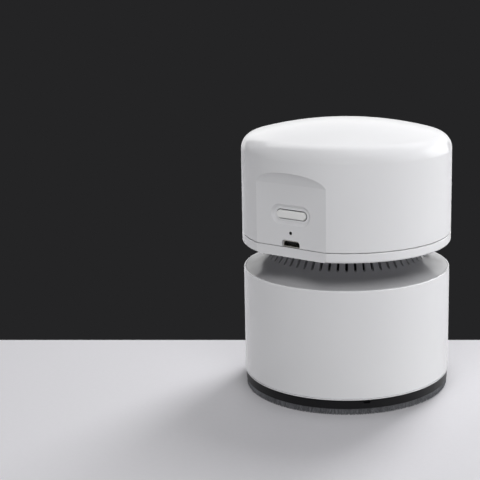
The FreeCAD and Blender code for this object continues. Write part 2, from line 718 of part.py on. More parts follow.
def make_dust_cup():
    """Drum: seat for the neck at its top, groove for its floor and three bayonet tabs."""
    body = new_body("dust_cup")
    groove_bottom = cup_bottom + groove_rise
    groove_top = groove_bottom + groove_width
    seat_radius = cup_radius - seat_lip
    profile = new_sketch(body, "CupProfile")
    outline(profile, [
        (cup_radius - edge_break, cup_bottom),
        (cup_radius, cup_bottom + edge_break),
        (cup_radius, groove_bottom),
        (cup_radius - groove_depth, groove_bottom),
        (cup_radius - groove_depth, groove_top),
        (cup_radius, groove_top),
        (cup_radius, cup_top - rim_round),
        (cup_radius - rim_round, cup_top),
        (seat_radius, cup_top),
        (seat_radius, cup_top - seat_depth),
        (cup_bore, cup_top - seat_depth),
        (cup_bore, cup_floor_top),
        (cup_bore + floor_seat, cup_floor_top),
        (cup_bore + floor_seat, cup_floor_bottom),
        (cup_bore, cup_floor_bottom),
        (cup_bore, cup_bottom)],
        {6: (rim_round, 1)})
    revolve(body, profile, "Cup")
    tab = new_sketch(body, "TabProfile")
    rectangle(tab, cup_bore - tab_reach, cup_bore + cup_wall / 2,
              ring_top + moving_gap, collar_top - lug_height - moving_gap)
    repeat(body, revolve(body, tab, "Tab", tab_angle), 3)
    node(body, "dust_cup")


def make_cup_floor():
    """Floor of the dust cup, held in the drum's groove, with a stepped hole for the funnel."""
    body = new_body("cup_floor")
    edge = cup_bore + floor_seat - seat_gap
    hole = funnel_radius + seat_gap
    step = hole + funnel_flange
    step_level = cup_floor_top - funnel_flange_height
    profile = new_sketch(body, "FloorProfile")
    outline(profile, [
        (hole, cup_floor_bottom),
        (edge, cup_floor_bottom),
        (edge, cup_floor_top),
        (step, cup_floor_top),
        (step, step_level),
        (hole, step_level)])
    revolve(body, profile, "Floor")
    node(body, "cup_floor")


def make_intake_funnel():
    """Tapered funnel that lets dust into the cup and keeps it there; its flange sits in the floor."""
    body = new_body("intake_funnel")
    rim = cup_floor_top + funnel_height
    step_level = cup_floor_top - funnel_flange_height
    profile = new_sketch(body, "FunnelProfile")
    outline(profile, [
        (funnel_bore, cup_floor_bottom),
        (funnel_radius, cup_floor_bottom),
        (funnel_radius, step_level),
        (funnel_radius + funnel_flange, step_level),
        (funnel_radius + funnel_flange, cup_floor_top),
        (funnel_radius, cup_floor_top),
        (funnel_radius - funnel_taper, rim),
        (funnel_bore - funnel_taper, rim)])
    revolve(body, profile, "Funnel")
    node(body, "intake_funnel")


# ---------------------------------------------------------------- neck and fan housing

def neck_curve_centre(rim_radius):
    """Centre of the neck's hollow curve, from its two ends and its radius."""
    across = rim_radius - neck_top_radius
    chord_squared = across * across + neck_height * neck_height
    reach = root(neck_curve * neck_curve / chord_squared - 0.25)
    return ((rim_radius + neck_top_radius) / 2 + neck_height * reach,
            (cup_top + neck_top) / 2 + across * reach)


def make_neck_grille():
    """Slotted neck: hollow curve outside, flange for the posts on top, spigot below."""
    body = new_body("neck_grille")
    rim_radius = cup_radius - seat_lip - fit_gap
    centre_x, centre_z = neck_curve_centre(rim_radius)
    inner_curve = neck_curve + thin_wall
    flange_bottom = neck_top - thin_wall
    up = centre_z - flange_bottom
    inner_top = centre_x - root(inner_curve * inner_curve - up * up)
    across = centre_x - spigot_bore
    bore_top = centre_z - root(inner_curve * inner_curve - across * across)
    groove_bottom = spigot_bottom + seal_rise
    groove_top = groove_bottom + seal_height + seat_gap * 2
    shoulder = cup_top - seat_depth + fit_gap
    profile = new_sketch(body, "NeckProfile")
    outline(profile, [
        (rim_radius, cup_top),
        (neck_top_radius, neck_top),
        (neck_bore, neck_top),
        (neck_bore, flange_bottom),
        (inner_top, flange_bottom),
        (spigot_bore, bore_top),
        (spigot_bore, spigot_bottom),
        (spigot_radius, spigot_bottom),
        (spigot_radius, groove_bottom),
        (spigot_radius - seal_depth, groove_bottom),
        (spigot_radius - seal_depth, groove_top),
        (spigot_radius, groove_top),
        (spigot_radius, shoulder),
        (rim_radius, shoulder)],
        {0: (neck_curve, -1), 4: (inner_curve, 1)})
    revolve(body, profile, "Neck")
    holes = new_sketch(body, "PostHoles", "XY_Plane", neck_top)
    for degrees in POST_DIRECTIONS:
        x, y = polar(post_circle, degrees)
        circle(holes, x, y, stack_screw_radius + seat_gap)
    extrude(body, holes, "PostHoleCut", thin_wall * 2, cut=True)
    slot_start = neck_bore + thin_wall / 2
    slot = new_sketch(body, "SlotProfile", "XZ_Plane", slot_start, slot_phase)
    bottom = cup_top + slot_rise
    top = flange_bottom - slot_margin
    half = slot_width / 2
    outline(slot, [(-half, bottom + half), (0, bottom), (half, bottom + half), (half, top), (-half, top)],
            {0: (half, 1), 1: (half, 1)})
    length = head_radius - slot_start
    repeat(body, extrude(body, slot, "Slot", length, cut=True, reverse=True), slot_count)
    node(body, "neck_grille")


def make_cup_seal():
    """Silicone ring in the spigot's groove, with a bevelled outer edge."""
    body = new_body("cup_seal")
    inner = spigot_radius - seal_depth + seat_gap
    outer = cup_bore - fit_gap / 2
    bottom = spigot_bottom + seal_rise + seat_gap
    third = seal_height / 3
    profile = new_sketch(body, "SealProfile")
    outline(profile, [
        (inner, bottom),
        (outer - third, bottom),
        (outer, bottom + third),
        (outer, bottom + third * 2),
        (outer - third, bottom + seal_height),
        (inner, bottom + seal_height)])
    revolve(body, profile, "Seal")
    node(body, "cup_seal")


def make_fan_shroud():
    """Plate under the impeller: inlet eye, three posts, and three hooks that hold the filter."""
    body = new_body("fan_shroud")
    edge = spigot_bore - fit_gap
    lip_wall = thin_wall
    profile = new_sketch(body, "ShroudProfile")
    outline(profile, [
        (shroud_eye, shroud_bottom - eye_lip),
        (shroud_eye + lip_wall, shroud_bottom - eye_lip),
        (shroud_eye + lip_wall, shroud_bottom),
        (edge, shroud_bottom),
        (edge, shroud_top),
        (shroud_eye, shroud_top)])
    revolve(body, profile, "Shroud")
    post_height = neck_top - thin_wall - shroud_top
    posts = new_sketch(body, "PostCircles", "XY_Plane", shroud_top - thin_wall / 2)
    for degrees in POST_DIRECTIONS:
        x, y = polar(post_circle, degrees)
        circle(posts, x, y, post_radius)
    extrude(body, posts, "Posts", post_height + thin_wall / 2)
    toe_top = filter_ring_bottom - moving_gap
    toe_bottom = toe_top - hook_toe
    hook_inside = hook_reach - hook_wall
    toe_edge = filter_radius + moving_gap
    hook = new_sketch(body, "HookProfile")
    outline(hook, [
        (hook_inside, shroud_bottom + thin_wall / 2),
        (hook_inside, toe_top),
        (toe_edge, toe_top),
        (toe_edge, toe_bottom),
        (hook_reach, toe_bottom),
        (hook_reach, shroud_bottom + thin_wall / 2)])
    repeat(body, revolve(body, hook, "Hook", tab_angle), 3)
    holes = new_sketch(body, "ScrewHoles", "XY_Plane", shroud_bottom)
    recesses = new_sketch(body, "ScrewRecesses", "XY_Plane", shroud_bottom)
    for degrees in POST_DIRECTIONS:
        x, y = polar(post_circle, degrees)
        circle(holes, x, y, stack_screw_radius + seat_gap)
        circle(recesses, x, y, stack_screw_radius + head_margin + seat_gap)
    extrude(body, holes, "ScrewHoleCut", neck_height * 2, cut=True, reverse=True)
    extrude(body, recesses, "ScrewRecessCut", head_height, cut=True, reverse=True)
    node(body, "fan_shroud")


def make_impeller():
    """Centrifugal impeller: back plate on top, hub, and backward-curved blades below."""
    body = new_body("impeller")
    plate_bottom = impeller_top - impeller_plate
    profile = new_sketch(body, "HubProfile")
    outline(profile, [
        (shaft_radius, impeller_bottom),
        (impeller_hub, impeller_bottom),
        (impeller_hub, plate_bottom),
        (impeller_radius, plate_bottom),
        (impeller_radius, impeller_top),
        (shaft_radius, impeller_top)])
    revolve(body, profile, "Hub")
    tip = impeller_radius - blade_tip
    half = impeller_plate / 2
    tip_x, tip_y = polar(tip, blade_sweep.number)
    side_x, side_y = polar(half, blade_sweep.number + 120)
    blade = new_sketch(body, "BladeProfile", "XY_Plane", impeller_bottom)
    outline(blade, [
        (blade_inner, -half),
        (tip_x - side_x, tip_y - side_y),
        (tip_x + side_x, tip_y + side_y),
        (blade_inner, half)],
        {0: (blade_curve, 1), 2: (blade_curve, -1)})
    height = impeller_top - impeller_plate / 2 - impeller_bottom
    repeat(body, extrude(body, blade, "Blade", height), blade_count)
    node(body, "impeller")


# ---------------------------------------------------------------- filter

def make_filter_frame():
    """Basket with windows, its ring and three bayonet lugs."""
    body = new_body("filter_frame")
    bore = filter_radius - filter_wall
    floor_top = filter_floor_bottom + filter_floor
    profile = new_sketch(body, "BasketProfile")
    outline(profile, [
        (bore, filter_top),
        (filter_radius, filter_top),
        (filter_radius, filter_ring_bottom),
        (filter_foot, filter_floor_bottom),
        (0, filter_floor_bottom),
        (0, floor_top),
        (filter_foot - filter_wall, floor_top),
        (bore, filter_ring_bottom)])
    revolve(body, profile, "Basket")
    lug = new_sketch(body, "LugProfile")
    rectangle(lug, filter_radius - filter_wall / 2, filter_radius + filter_lug,
              filter_ring_bottom, filter_top)
    repeat(body, revolve(body, lug, "Lug", lug_angle), 3)
    window_start = filter_foot / 2
    window = new_sketch(body, "WindowProfile", "XZ_Plane", window_start)
    low = floor_top + window_margin
    high = filter_ring_bottom - window_margin
    outline(window, [
        (-window_foot / 2, low), (window_foot / 2, low), (window_top / 2, high), (-window_top / 2, high)])
    length = filter_radius - window_start + cut_excess
    repeat(body, extrude(body, window, "Window", length, cut=True, reverse=True), window_count)
    node(body, "filter_frame")


def make_filter_mesh():
    """Filter cloth that lines the basket."""
    body = new_body("filter_mesh")
    outer = filter_radius - filter_wall - seat_gap * 2
    foot = filter_foot - filter_wall - seat_gap * 2
    floor_top = filter_floor_bottom + filter_floor
    profile = new_sketch(body, "ClothProfile")
    outline(profile, [
        (outer, filter_top),
        (outer, filter_ring_bottom),
        (foot, floor_top),
        (0, floor_top),
        (0, floor_top + mesh_thickness),
        (foot - mesh_thickness, floor_top + mesh_thickness),
        (outer - mesh_thickness, filter_ring_bottom),
        (outer - mesh_thickness, filter_top)])
    revolve(body, profile, "Cloth")
    node(body, "filter_mesh")


def make_filter_seal():
    """Gasket between the filter's ring and the shroud."""
    outer = filter_radius - seat_gap * 2
    node(tube("Gasket", outer, outer - gasket_width, gasket_height, filter_top), "filter_seal")


# ---------------------------------------------------------------- head base

def make_head_base():
    """Floor of the head with its band, the lip for the cover and the screw bosses."""
    body = new_body("head_base")
    lip_radius = head_radius - head_wall - fit_gap
    lip_bore = lip_radius - register_wall
    lip_top = band_top + register_height
    shaft_hole = motor_boss_radius + fit_gap
    profile = new_sketch(body, "BaseProfile")
    outline(profile, [
        (shaft_hole, neck_top),
        (head_radius - edge_round, neck_top),
        (head_radius, neck_top + edge_round),
        (head_radius, band_top - edge_break),
        (head_radius - edge_break, band_top),
        (lip_radius, band_top),
        (lip_radius, lip_top),
        (lip_bore, lip_top),
        (lip_bore, base_floor_top),
        (shaft_hole, base_floor_top)],
        {1: (edge_round, 1)})
    revolve(body, profile, "Base")
    bosses = new_sketch(body, "StackBosses", "XY_Plane", base_floor_top - base_floor / 2)
    cover_clear = new_sketch(body, "CoverBossRoom", "XY_Plane", base_floor_top)
    stack_holes = new_sketch(body, "StackHoles", "XY_Plane", neck_top)
    cover_holes = new_sketch(body, "CoverHoles", "XY_Plane", neck_top)
    cover_heads = new_sketch(body, "CoverRecesses", "XY_Plane", neck_top)
    motor_holes = new_sketch(body, "MotorHoles", "XY_Plane", neck_top)
    motor_heads = new_sketch(body, "MotorRecesses", "XY_Plane", neck_top)
    board_bosses = new_sketch(body, "BoardBosses", "XY_Plane", base_floor_top - base_floor / 2)
    board_holes = new_sketch(body, "BoardHoles", "XY_Plane", board_bottom)
    for degrees in POST_DIRECTIONS:
        x, y = polar(post_circle, degrees)
        circle(bosses, x, y, stack_boss_radius)
        circle(stack_holes, x, y, stack_screw_radius + seat_gap)
        x, y = polar(cover_boss_circle, degrees)
        circle(cover_clear, x, y, cover_boss_radius + moving_gap)
        circle(cover_holes, x, y, cover_screw_radius + seat_gap)
        circle(cover_heads, x, y, cover_screw_radius + head_margin + seat_gap)
    for side in SCREW_SIDES:
        circle(motor_holes, motor_screw_circle * side, 0, motor_screw_radius + seat_gap)
        circle(motor_heads, motor_screw_circle * side, 0, motor_screw_radius + head_margin + seat_gap)
        circle(board_bosses, board_screw_side * side, -board_screw_row, board_screw_radius * 2)
        circle(board_holes, board_screw_side * side, -board_screw_row, board_screw_radius + seat_gap)
    extrude(body, bosses, "StackBossPad", stack_boss_height + base_floor / 2)
    extrude(body, board_bosses, "BoardBossPad", board_lift + base_floor / 2)
    extrude(body, cover_clear, "CoverBossCut", head_radius, cut=True, reverse=True)
    extrude(body, stack_holes, "StackHoleCut", head_radius, cut=True, reverse=True)
    extrude(body, cover_holes, "CoverHoleCut", head_radius, cut=True, reverse=True)
    extrude(body, cover_heads, "CoverRecessCut", head_height, cut=True, reverse=True)
    extrude(body, motor_holes, "MotorHoleCut", head_radius, cut=True, reverse=True)
    extrude(body, motor_heads, "MotorRecessCut", head_height, cut=True, reverse=True)
    extrude(body, board_holes, "BoardHoleCut", board_lift + base_floor - board_screw_floor, cut=True)
    panel = new_sketch(body, "PanelCut", "XY_Plane", neck_top)
    rectangle(panel, -head_radius, head_radius, -head_radius * 2, -panel_distance)
    extrude(body, panel, "Panel", head_radius, cut=True, reverse=True)
    lip_room = new_sketch(body, "LipRoom", "XY_Plane", band_top)
    rectangle(lip_room, -head_radius, head_radius, -head_radius * 2, -(panel_inside - fit_gap))
    extrude(body, lip_room, "LipCut", register_height * 2, cut=True, reverse=True)
    node(body, "head_base")


# ---------------------------------------------------------------- head cover

def dome_profile(sketch, radius, top, dome, shoulder, bottom, bevel):
    """Half section of a domed cylinder: bevelled foot, wall, shoulder arc and flat crown."""
    centre = top - dome
    reach = dome - shoulder
    across = radius - shoulder
    rise = root(reach * reach - across * across)
    outline(sketch, [
        (0, bottom),
        (radius - bevel, bottom),
        (radius, bottom + bevel),
        (radius, centre + rise),
        (across * dome / reach, centre + rise * dome / reach),
        (0, top)],
        {3: (shoulder, 1), 4: (dome, 1)})


def make_panel_cutter():
    """The volume that is cut away in front of the flat panel, up to its curved roof."""
    body = new_body("panel_cutter")
    top = cover_bottom + panel_top
    roof_out = head_radius + edge_break
    beyond = head_radius + cut_excess
    roof_top = top + panel_roof
    profile = new_sketch(body, "PanelSide", "YZ_Plane")
    outline(profile, [
        (-panel_distance, cover_bottom - cut_excess),
        (-panel_distance, top),
        (-roof_out, roof_top),
        (-beyond, roof_top),
        (-beyond, cover_bottom - cut_excess)],
        {1: (panel_roof_curve, 1)})
    extrude(body, profile, "PanelRoom", head_radius, both_sides=True)
    return body


def make_button_well():
    """Recess with a sloping edge, and the hole that the button's cap runs in."""
    body = new_body("button_well")
    outer = new_sketch(body, "WellEdge", "XZ_Plane", panel_distance)
    stadium(outer, well_width, well_height, button_level)
    inner = new_sketch(body, "WellFloor", "XZ_Plane", panel_distance - well_depth)
    stadium(inner, well_width - well_slope * 2, well_height - well_slope * 2, button_level)
    loft = body.newObject("PartDesign::AdditiveLoft", "WellLoft")
    loft.Profile = outer
    loft.Sections = [inner]
    loft.Ruled = True
    doc.recompute()
    hole = new_sketch(body, "ButtonHole", "XZ_Plane", panel_inside - cut_excess)
    stadium(hole, button_width + button_gap * 2, button_height + button_gap * 2, button_level)
    extrude(body, hole, "ButtonHolePad", head_wall + cut_excess - well_depth / 2)
    return body


def make_port_notch():
    """Notch for the charging port in the cover's lower edge, with rounded upper corners."""
    body = new_body("port_notch")
    profile = new_sketch(body, "NotchFront", "XZ_Plane", panel_inside - cut_excess)
    arched(profile, socket_width + port_play * 2, cover_bottom - cut_excess, port_top, port_round)
    extrude(body, profile, "NotchPad", head_wall + cut_excess * 2)
    return body


def make_head_cover():
    """Domed cover with the flat control panel and three screw bosses inside."""
    outside = new_body("cover_outside")
    profile = new_sketch(outside, "OutsideProfile")
    dome_profile(profile, head_radius, total_height, crown_radius, shoulder_radius, cover_bottom,
                 edge_break)
    revolve(outside, profile, "Outside")
    inside = new_body("cover_inside")
    profile = new_sketch(inside, "InsideProfile")
    dome_profile(profile, head_radius - head_wall, total_height - head_wall, crown_radius - head_wall,
                 shoulder_radius - head_wall, cover_bottom - cut_excess, edge_break)
    revolve(inside, profile, "Inside")
    backing = new_sketch(inside, "PanelBacking", "XY_Plane", cover_bottom - cut_excess)
    rectangle(backing, -head_radius, head_radius, -head_radius, -panel_inside)
    extrude(inside, backing, "PanelBackingCut", panel_top + panel_roof + head_wall,
            cut=True, reverse=True)
    shell = cut("CoverShell", outside, inside)
    bosses = []
    bores = []
    foot = base_floor_top + seat_gap * 2
    for degrees in POST_DIRECTIONS:
        x, y = polar(cover_boss_circle, degrees)
        bosses.append(cylinder("CoverBoss_%d" % degrees, cover_boss_radius, cover_boss_height, x, y, foot))
        bores.append(cylinder("CoverBore_%d" % degrees, cover_screw_radius + seat_gap,
                              cover_screw_bite + screw_end, x, y, foot))
    with_bosses = fuse("CoverWithBosses", [shell] + bosses)
    pipe_hole = cylinder("PipeHole", pipe_radius + seat_gap, head_radius - panel_inside + cut_excess,
                         0, -head_radius, led_level, ALONG_Y)
    tools = fuse("CoverTools", [make_panel_cutter(), make_button_well(), make_port_notch(), pipe_hole])
    without_tools = cut("CoverCut", with_bosses, tools)
    node(cut("Cover", without_tools, group("CoverBores", bores)), "head_cover")


# ---------------------------------------------------------------- button and switch

def make_power_button():
    """Pill-shaped button: cap with a rounded face, flange behind the panel, stem."""
    body = new_body("power_button")
    cap = new_sketch(body, "CapFace", "XZ_Plane", flange_front)
    stadium(cap, button_width, button_height, button_level)
    extrude(body, cap, "Cap", button_face - flange_front)
    flange = new_sketch(body, "FlangeFace", "XZ_Plane", flange_back)
    stadium(flange, button_width + flange_margin * 2, button_height + flange_margin * 2, button_level)
    extrude(body, flange, "Flange", flange_thickness)
    stem = new_sketch(body, "StemFace", "XZ_Plane", stem_end)
    circle(stem, 0, button_level, stem_radius)
    extrude(body, stem, "Stem", stem_length)
    front = -button_face.number
    edges = []
    for number, edge in enumerate(body.Shape.Edges):
        box = edge.BoundBox
        if max(abs(box.YMin - front), abs(box.YMax - front)) < SAME_PLACE:
            edges.append("Edge%d" % (number + 1))
    unrounded = body.Tip
    round_face = body.newObject("PartDesign::Fillet", "CapRound")
    round_face.Base = (unrounded, edges)
    bind(round_face, "Radius", button_round)
    doc.recompute()
    node(body, "power_button")


def make_switch():
    """Tact switch on the switch board, with its plunger."""
    half = switch_side / 2
    case = block("SwitchCase", (-half, half), (-switch_front, -switch_back),
                 (button_level - half, button_level + half))
    bore_depth = plunger_length - plunger_show + button_travel + moving_gap
    bore = cylinder("SwitchBore", plunger_radius + seat_gap * 2, bore_depth,
                    0, -switch_front, button_level, ALONG_Y)
    node(cut("Switch", case, bore), "tact_switch")
    plunger = cylinder("Plunger", plunger_radius, plunger_length, 0, -plunger_front, button_level, ALONG_Y)
    node(plunger, "switch_plunger")


# ---------------------------------------------------------------- boards

def make_boards():
    """Main board with its screws' holes, and the upright switch board."""
    half = board_width / 2
    plate = block("MainPlate", (-half, half), (-board_front, -(board_front - board_depth)),
                  (board_bottom, board_top))
    holes = []
    for side in SCREW_SIDES:
        holes.append(cylinder("MainHole_%d" % (side + 2), board_screw_radius + seat_gap, board_thickness,
                              board_screw_side * side, -board_screw_row, board_bottom))
    node(cut("MainBoard", plate, group("MainHoles", holes)), "main_board")
    half = panel_board_width / 2
    node(block("SwitchBoard", (-half, half), (-switch_back, -panel_board_back),
               (board_top, board_top + panel_board_height)), "switch_board")
    half = header_width / 2
    node(block("LinkHeader", (-half, half), (-panel_board_back, -(panel_board_back - header_side)),
               (board_top, board_top + header_side)), "link_header")


def make_charge_chips():
    """Charging chip, boost chip, inductor and capacitors on the main board."""
    beside = header_width / 2 + chip_gap
    behind = panel_board_back - header_side - chip_gap
    front = panel_board_back - chip_gap
    places = (
        ("ChargeChip", -(beside + chip_side), -beside, front, chip_side, chip_height),
        ("BoostChip", beside, beside + boost_side, front, boost_side, chip_height),
        ("Inductor", -coil_side / 2, coil_side / 2, behind, coil_side, coil_height),
        ("CapacitorA", -(coil_side + capacitor_width), -coil_side, behind, capacitor_depth, chip_height),
        ("CapacitorB", coil_side, coil_side + capacitor_width, behind, capacitor_depth, chip_height))
    chips = []
    for name, left, right, front_edge, depth, height in places:
        chips.append(block(name, (left, right), (-front_edge, -(front_edge - depth)),
                           (board_top, board_top + height)))
    node(group("ChargeChips", chips), "charge_chips")


def make_usb_socket():
    """Micro-USB shell on the main board's front edge, and its tongue."""
    front = -(panel_distance - socket_inset)
    back = front + socket_length
    body = new_body("usb_socket")
    outside = new_sketch(body, "SocketOutside", "XZ_Plane", -back)
    arched(outside, socket_width, board_top, board_top + socket_height, port_round)
    extrude(body, outside, "SocketPad", socket_length)
    inside = new_sketch(body, "SocketInside", "XZ_Plane", -(back - socket_sheet))
    arched(inside, socket_width - socket_sheet * 2, board_top + socket_sheet,
           board_top + socket_height - socket_sheet, port_round - socket_sheet)
    extrude(body, inside, "SocketRoom", socket_length, cut=True, reverse=True)
    node(body, "usb_socket")
    middle = board_top + socket_height / 2
    node(block("Tongue", (-tongue_width / 2, tongue_width / 2), (front + tongue_inset, back - socket_sheet),
               (middle - tongue_thickness / 2, middle + tongue_thickness / 2)), "usb_tongue")


def make_indicator():
    """LED on the switch board and the light pipe that carries its light to the panel."""
    node(block("Led", (-led_size, led_size), (-(switch_back + led_size), -switch_back),
               (led_level - led_size / 2, led_level + led_size / 2)), "status_led")
    pipe_end = switch_back + led_size + seat_gap * 2
    collar = panel_inside - seat_gap
    face = panel_distance - pipe_recess
    front = cylinder("PipeFront", pipe_radius, face - pipe_end, 0, -face, led_level, ALONG_Y)
    back = cylinder("PipeBack", pipe_back_radius, collar - pipe_end, 0, -collar, led_level, ALONG_Y)
    node(fuse("LightPipe", [front, back]), "light_pipe")


# ---------------------------------------------------------------- motor

def make_motor():
    """Brushed DC motor: can with bearing boss, end cap, terminals, magnets and bushes."""
    inner = motor_radius - motor_sheet
    boss_bottom = base_floor_top - motor_boss_length
    can = fuse("CanSolid", [
        cylinder("CanBody", motor_radius, motor_length, z=base_floor_top),
        cylinder("CanBoss", motor_boss_radius, motor_boss_length, z=boss_bottom)])
    bush_radius = shaft_radius + bush_wall
    rooms = [
        cylinder("CanRoom", inner, motor_length, z=base_floor_top + motor_sheet),
        cylinder("BushSeat", bush_radius, motor_boss_length + motor_sheet * 2, z=boss_bottom)]
    for side in SCREW_SIDES:
        rooms.append(cylinder("CanThread_%d" % (side + 2), motor_screw_radius + seat_gap, motor_sheet,
                              motor_screw_circle * side, 0, base_floor_top))
    node(cut("MotorCan", can, fuse("CanRooms", rooms)), "motor_can")
    cap = cylinder("CapDisc", inner - seat_gap, cap_thickness, z=motor_cap_bottom)
    cap_room = cylinder("CapBushSeat", bush_radius, cap_thickness, z=motor_cap_bottom)
    terminals = []
    for side in SCREW_SIDES:
        x = terminal_offset * side
        low_x = x - terminal_width / 2
        high_x = x + terminal_width / 2
        terminals.append(block("Terminal_%d" % (side + 2), (low_x, high_x),
                               (-lead_radius, lead_radius),
                               (motor_top + cap_stand, motor_top + cap_stand + terminal_height)))
    node(cut("EndCap", cap, cap_room), "motor_end_cap")
    node(group("Terminals", terminals), "motor_terminals")
    lower_length = motor_boss_length + motor_sheet
    bushes = [
        tube("LowerBush", bush_radius, shaft_radius + shaft_gap, lower_length, boss_bottom),
        tube("UpperBush", bush_radius, shaft_radius + shaft_gap, cap_thickness, motor_cap_bottom)]
    node(group("Bushes", bushes), "motor_bushes")
    ring = tube("MagnetRing", inner, inner - magnet_thickness, magnet_length, magnet_bottom)
    gap = block("MagnetGap", (-magnet_thickness * 2, magnet_thickness * 2), (-motor_radius, motor_radius),
                (base_floor_top, motor_top))
    node(cut("Magnets", ring, gap), "motor_magnets")


def make_rotor():
    """Shaft, wound armature and commutator."""
    bottom = impeller_bottom
    top = motor_top + cap_stand - shaft_end
    node(cylinder("Shaft", shaft_radius, top - bottom, z=bottom), "motor_shaft")
    body = new_body("armature")
    hub = new_sketch(body, "ArmatureHub", "XY_Plane", armature_bottom)
    circle(hub, 0, 0, armature_radius)
    circle(hub, 0, 0, shaft_radius)
    extrude(body, hub, "ArmaturePad", armature_length)
    gap = new_sketch(body, "ArmatureGap", "XY_Plane", armature_bottom)
    rectangle(gap, armature_radius * 0.42, armature_radius * 1.1, -armature_radius * 0.1,
              armature_radius * 0.1)
    repeat(body, extrude(body, gap, "ArmatureSlot", armature_length, cut=True, reverse=True), 3)
    node(body, "armature")
    node(tube("Commutator", commutator_radius, shaft_radius, commutator_length, armature_top),
         "commutator")


# ---------------------------------------------------------------- cell

def make_cell():
    """Cylindrical lithium cell with its positive button, two saddles and two contact tabs."""
    half = cell_length / 2
    body = cylinder("CellBody", cell_radius, cell_length, -half, cell_back, cell_level, ALONG_X)
    node(body, "battery_cell")
    saddles = []
    for side in SCREW_SIDES:
        middle = saddle_offset * side
        stand = block("SaddleBlock_%d" % (side + 2), (middle - saddle_width / 2, middle + saddle_width / 2),
                      (cell_back - saddle_depth / 2, cell_back + saddle_depth / 2),
                      (base_floor_top, base_floor_top + cell_lift + saddle_grip))
        bed = cylinder("SaddleBed_%d" % (side + 2), cell_radius + seat_gap, cell_length,
                       -half, cell_back, cell_level, ALONG_X)
        saddles.append(cut("Saddle_%d" % (side + 2), stand, bed))
    node(group("Saddles", saddles), "battery_saddles")
    tabs = []
    for side in SCREW_SIDES:
        inner = half * side
        outer = (half + tab_sheet) * side
        limits = (inner, outer) if side > 0 else (outer, inner)
        tabs.append(block("CellTab_%d" % (side + 2), limits,
                          (cell_back - tab_side / 2, cell_back + tab_side / 2),
                          (cell_level - tab_side / 2, cell_level + tab_side / 2)))
    node(group("CellTabs", tabs), "cell_tabs")


# ---------------------------------------------------------------- leads

def lead(points, radius, bend):
    """A round lead along straight runs joined by tangent arcs."""
    edges = []
    start = points[0]
    for before, corner, after in zip(points, points[1:], points[2:]):
        towards = (before - corner).normalize()
        onwards = (after - corner).normalize()
        half_angle = towards.getAngle(onwards) / 2
        reach = bend / math.tan(half_angle)
        first = corner + towards * reach
        last = corner + onwards * reach
        bisector = (towards + onwards).normalize()
        middle = corner + bisector * (bend / math.sin(half_angle) - bend)
        edges.append(Part.LineSegment(start, first).toShape())
        edges.append(Part.Arc(first, middle, last).toShape())
        start = last
    edges.append(Part.LineSegment(start, points[-1]).toShape())
    path = Part.Wire(edges)
    section = Part.Wire(Part.Circle(points[0], points[1] - points[0], radius).toShape())
    return path.makePipeShell([section], True, False)


def make_leads():
    """Leads from the main board to the cell's tabs and to the motor's terminals."""
    row = -lead_row.number
    floor = board_top.number
    radius = lead_radius.number
    bend = lead_bend.number
    tab_face = (cell_length / 2 + tab_sheet).number
    out = tab_face + lead_side_run.number
    high = (cell_level + lead_top).number
    terminal_top = (motor_top + cap_stand + terminal_height).number
    over = terminal_top + bend + lead_straight.number
    board_point = (board_width / 2 - lead_edge).number
    cell_leads = []
    motor_leads = []
    for side in SCREW_SIDES:
        cell_leads.append(lead([
            FreeCAD.Vector(side * board_point, row, floor),
            FreeCAD.Vector(side * board_point, row, high),
            FreeCAD.Vector(side * out, cell_back.number, high),
            FreeCAD.Vector(side * out, cell_back.number, cell_level.number),
            FreeCAD.Vector(side * tab_face, cell_back.number, cell_level.number)], radius, bend))
        motor_leads.append(lead([
            FreeCAD.Vector(side * terminal_offset.number, row, floor),
            FreeCAD.Vector(side * terminal_offset.number, row, over),
            FreeCAD.Vector(side * terminal_offset.number, 0, over),
            FreeCAD.Vector(side * terminal_offset.number, 0, terminal_top)], radius, bend))
    for label, solids in (("battery_leads", cell_leads), ("motor_leads", motor_leads)):
        item = doc.addObject("Part::Feature", "Leads_" + label)
        item.Shape = Part.makeCompound(solids)
        item.Placement = FreeCAD.Placement()
        node(item, label)


# ---------------------------------------------------------------- screws

def screw(name, x, y, head_low, thread, length, head_up=False):
    """A cross-head screw on a vertical axis; head_low is the lower face of its head.

    The thread points up out of the head, or down when the head is on top.
    """
    head = cylinder(name + "_Head", thread + head_margin, head_height, x, y, head_low)
    thread_low = head_low - length if head_up else head_low + head_height
    stem = cylinder(name + "_Thread", thread, length, x, y, thread_low)
    solid = fuse(name + "_Solid", [head, stem])
    reach = (thread + head_margin) * 0.6
    half = cross_width / 2
    low = head_low + head_height - cross_depth if head_up else head_low
    high = low + cross_depth
    cross = fuse(name + "_Cross", [
        block(name + "_CrossA", (x - reach, x + reach), (y - half, y + half), (low, high)),
        block(name + "_CrossB", (x - half, x + half), (y - reach, y + reach), (low, high))])
    return cut(name, solid, cross)


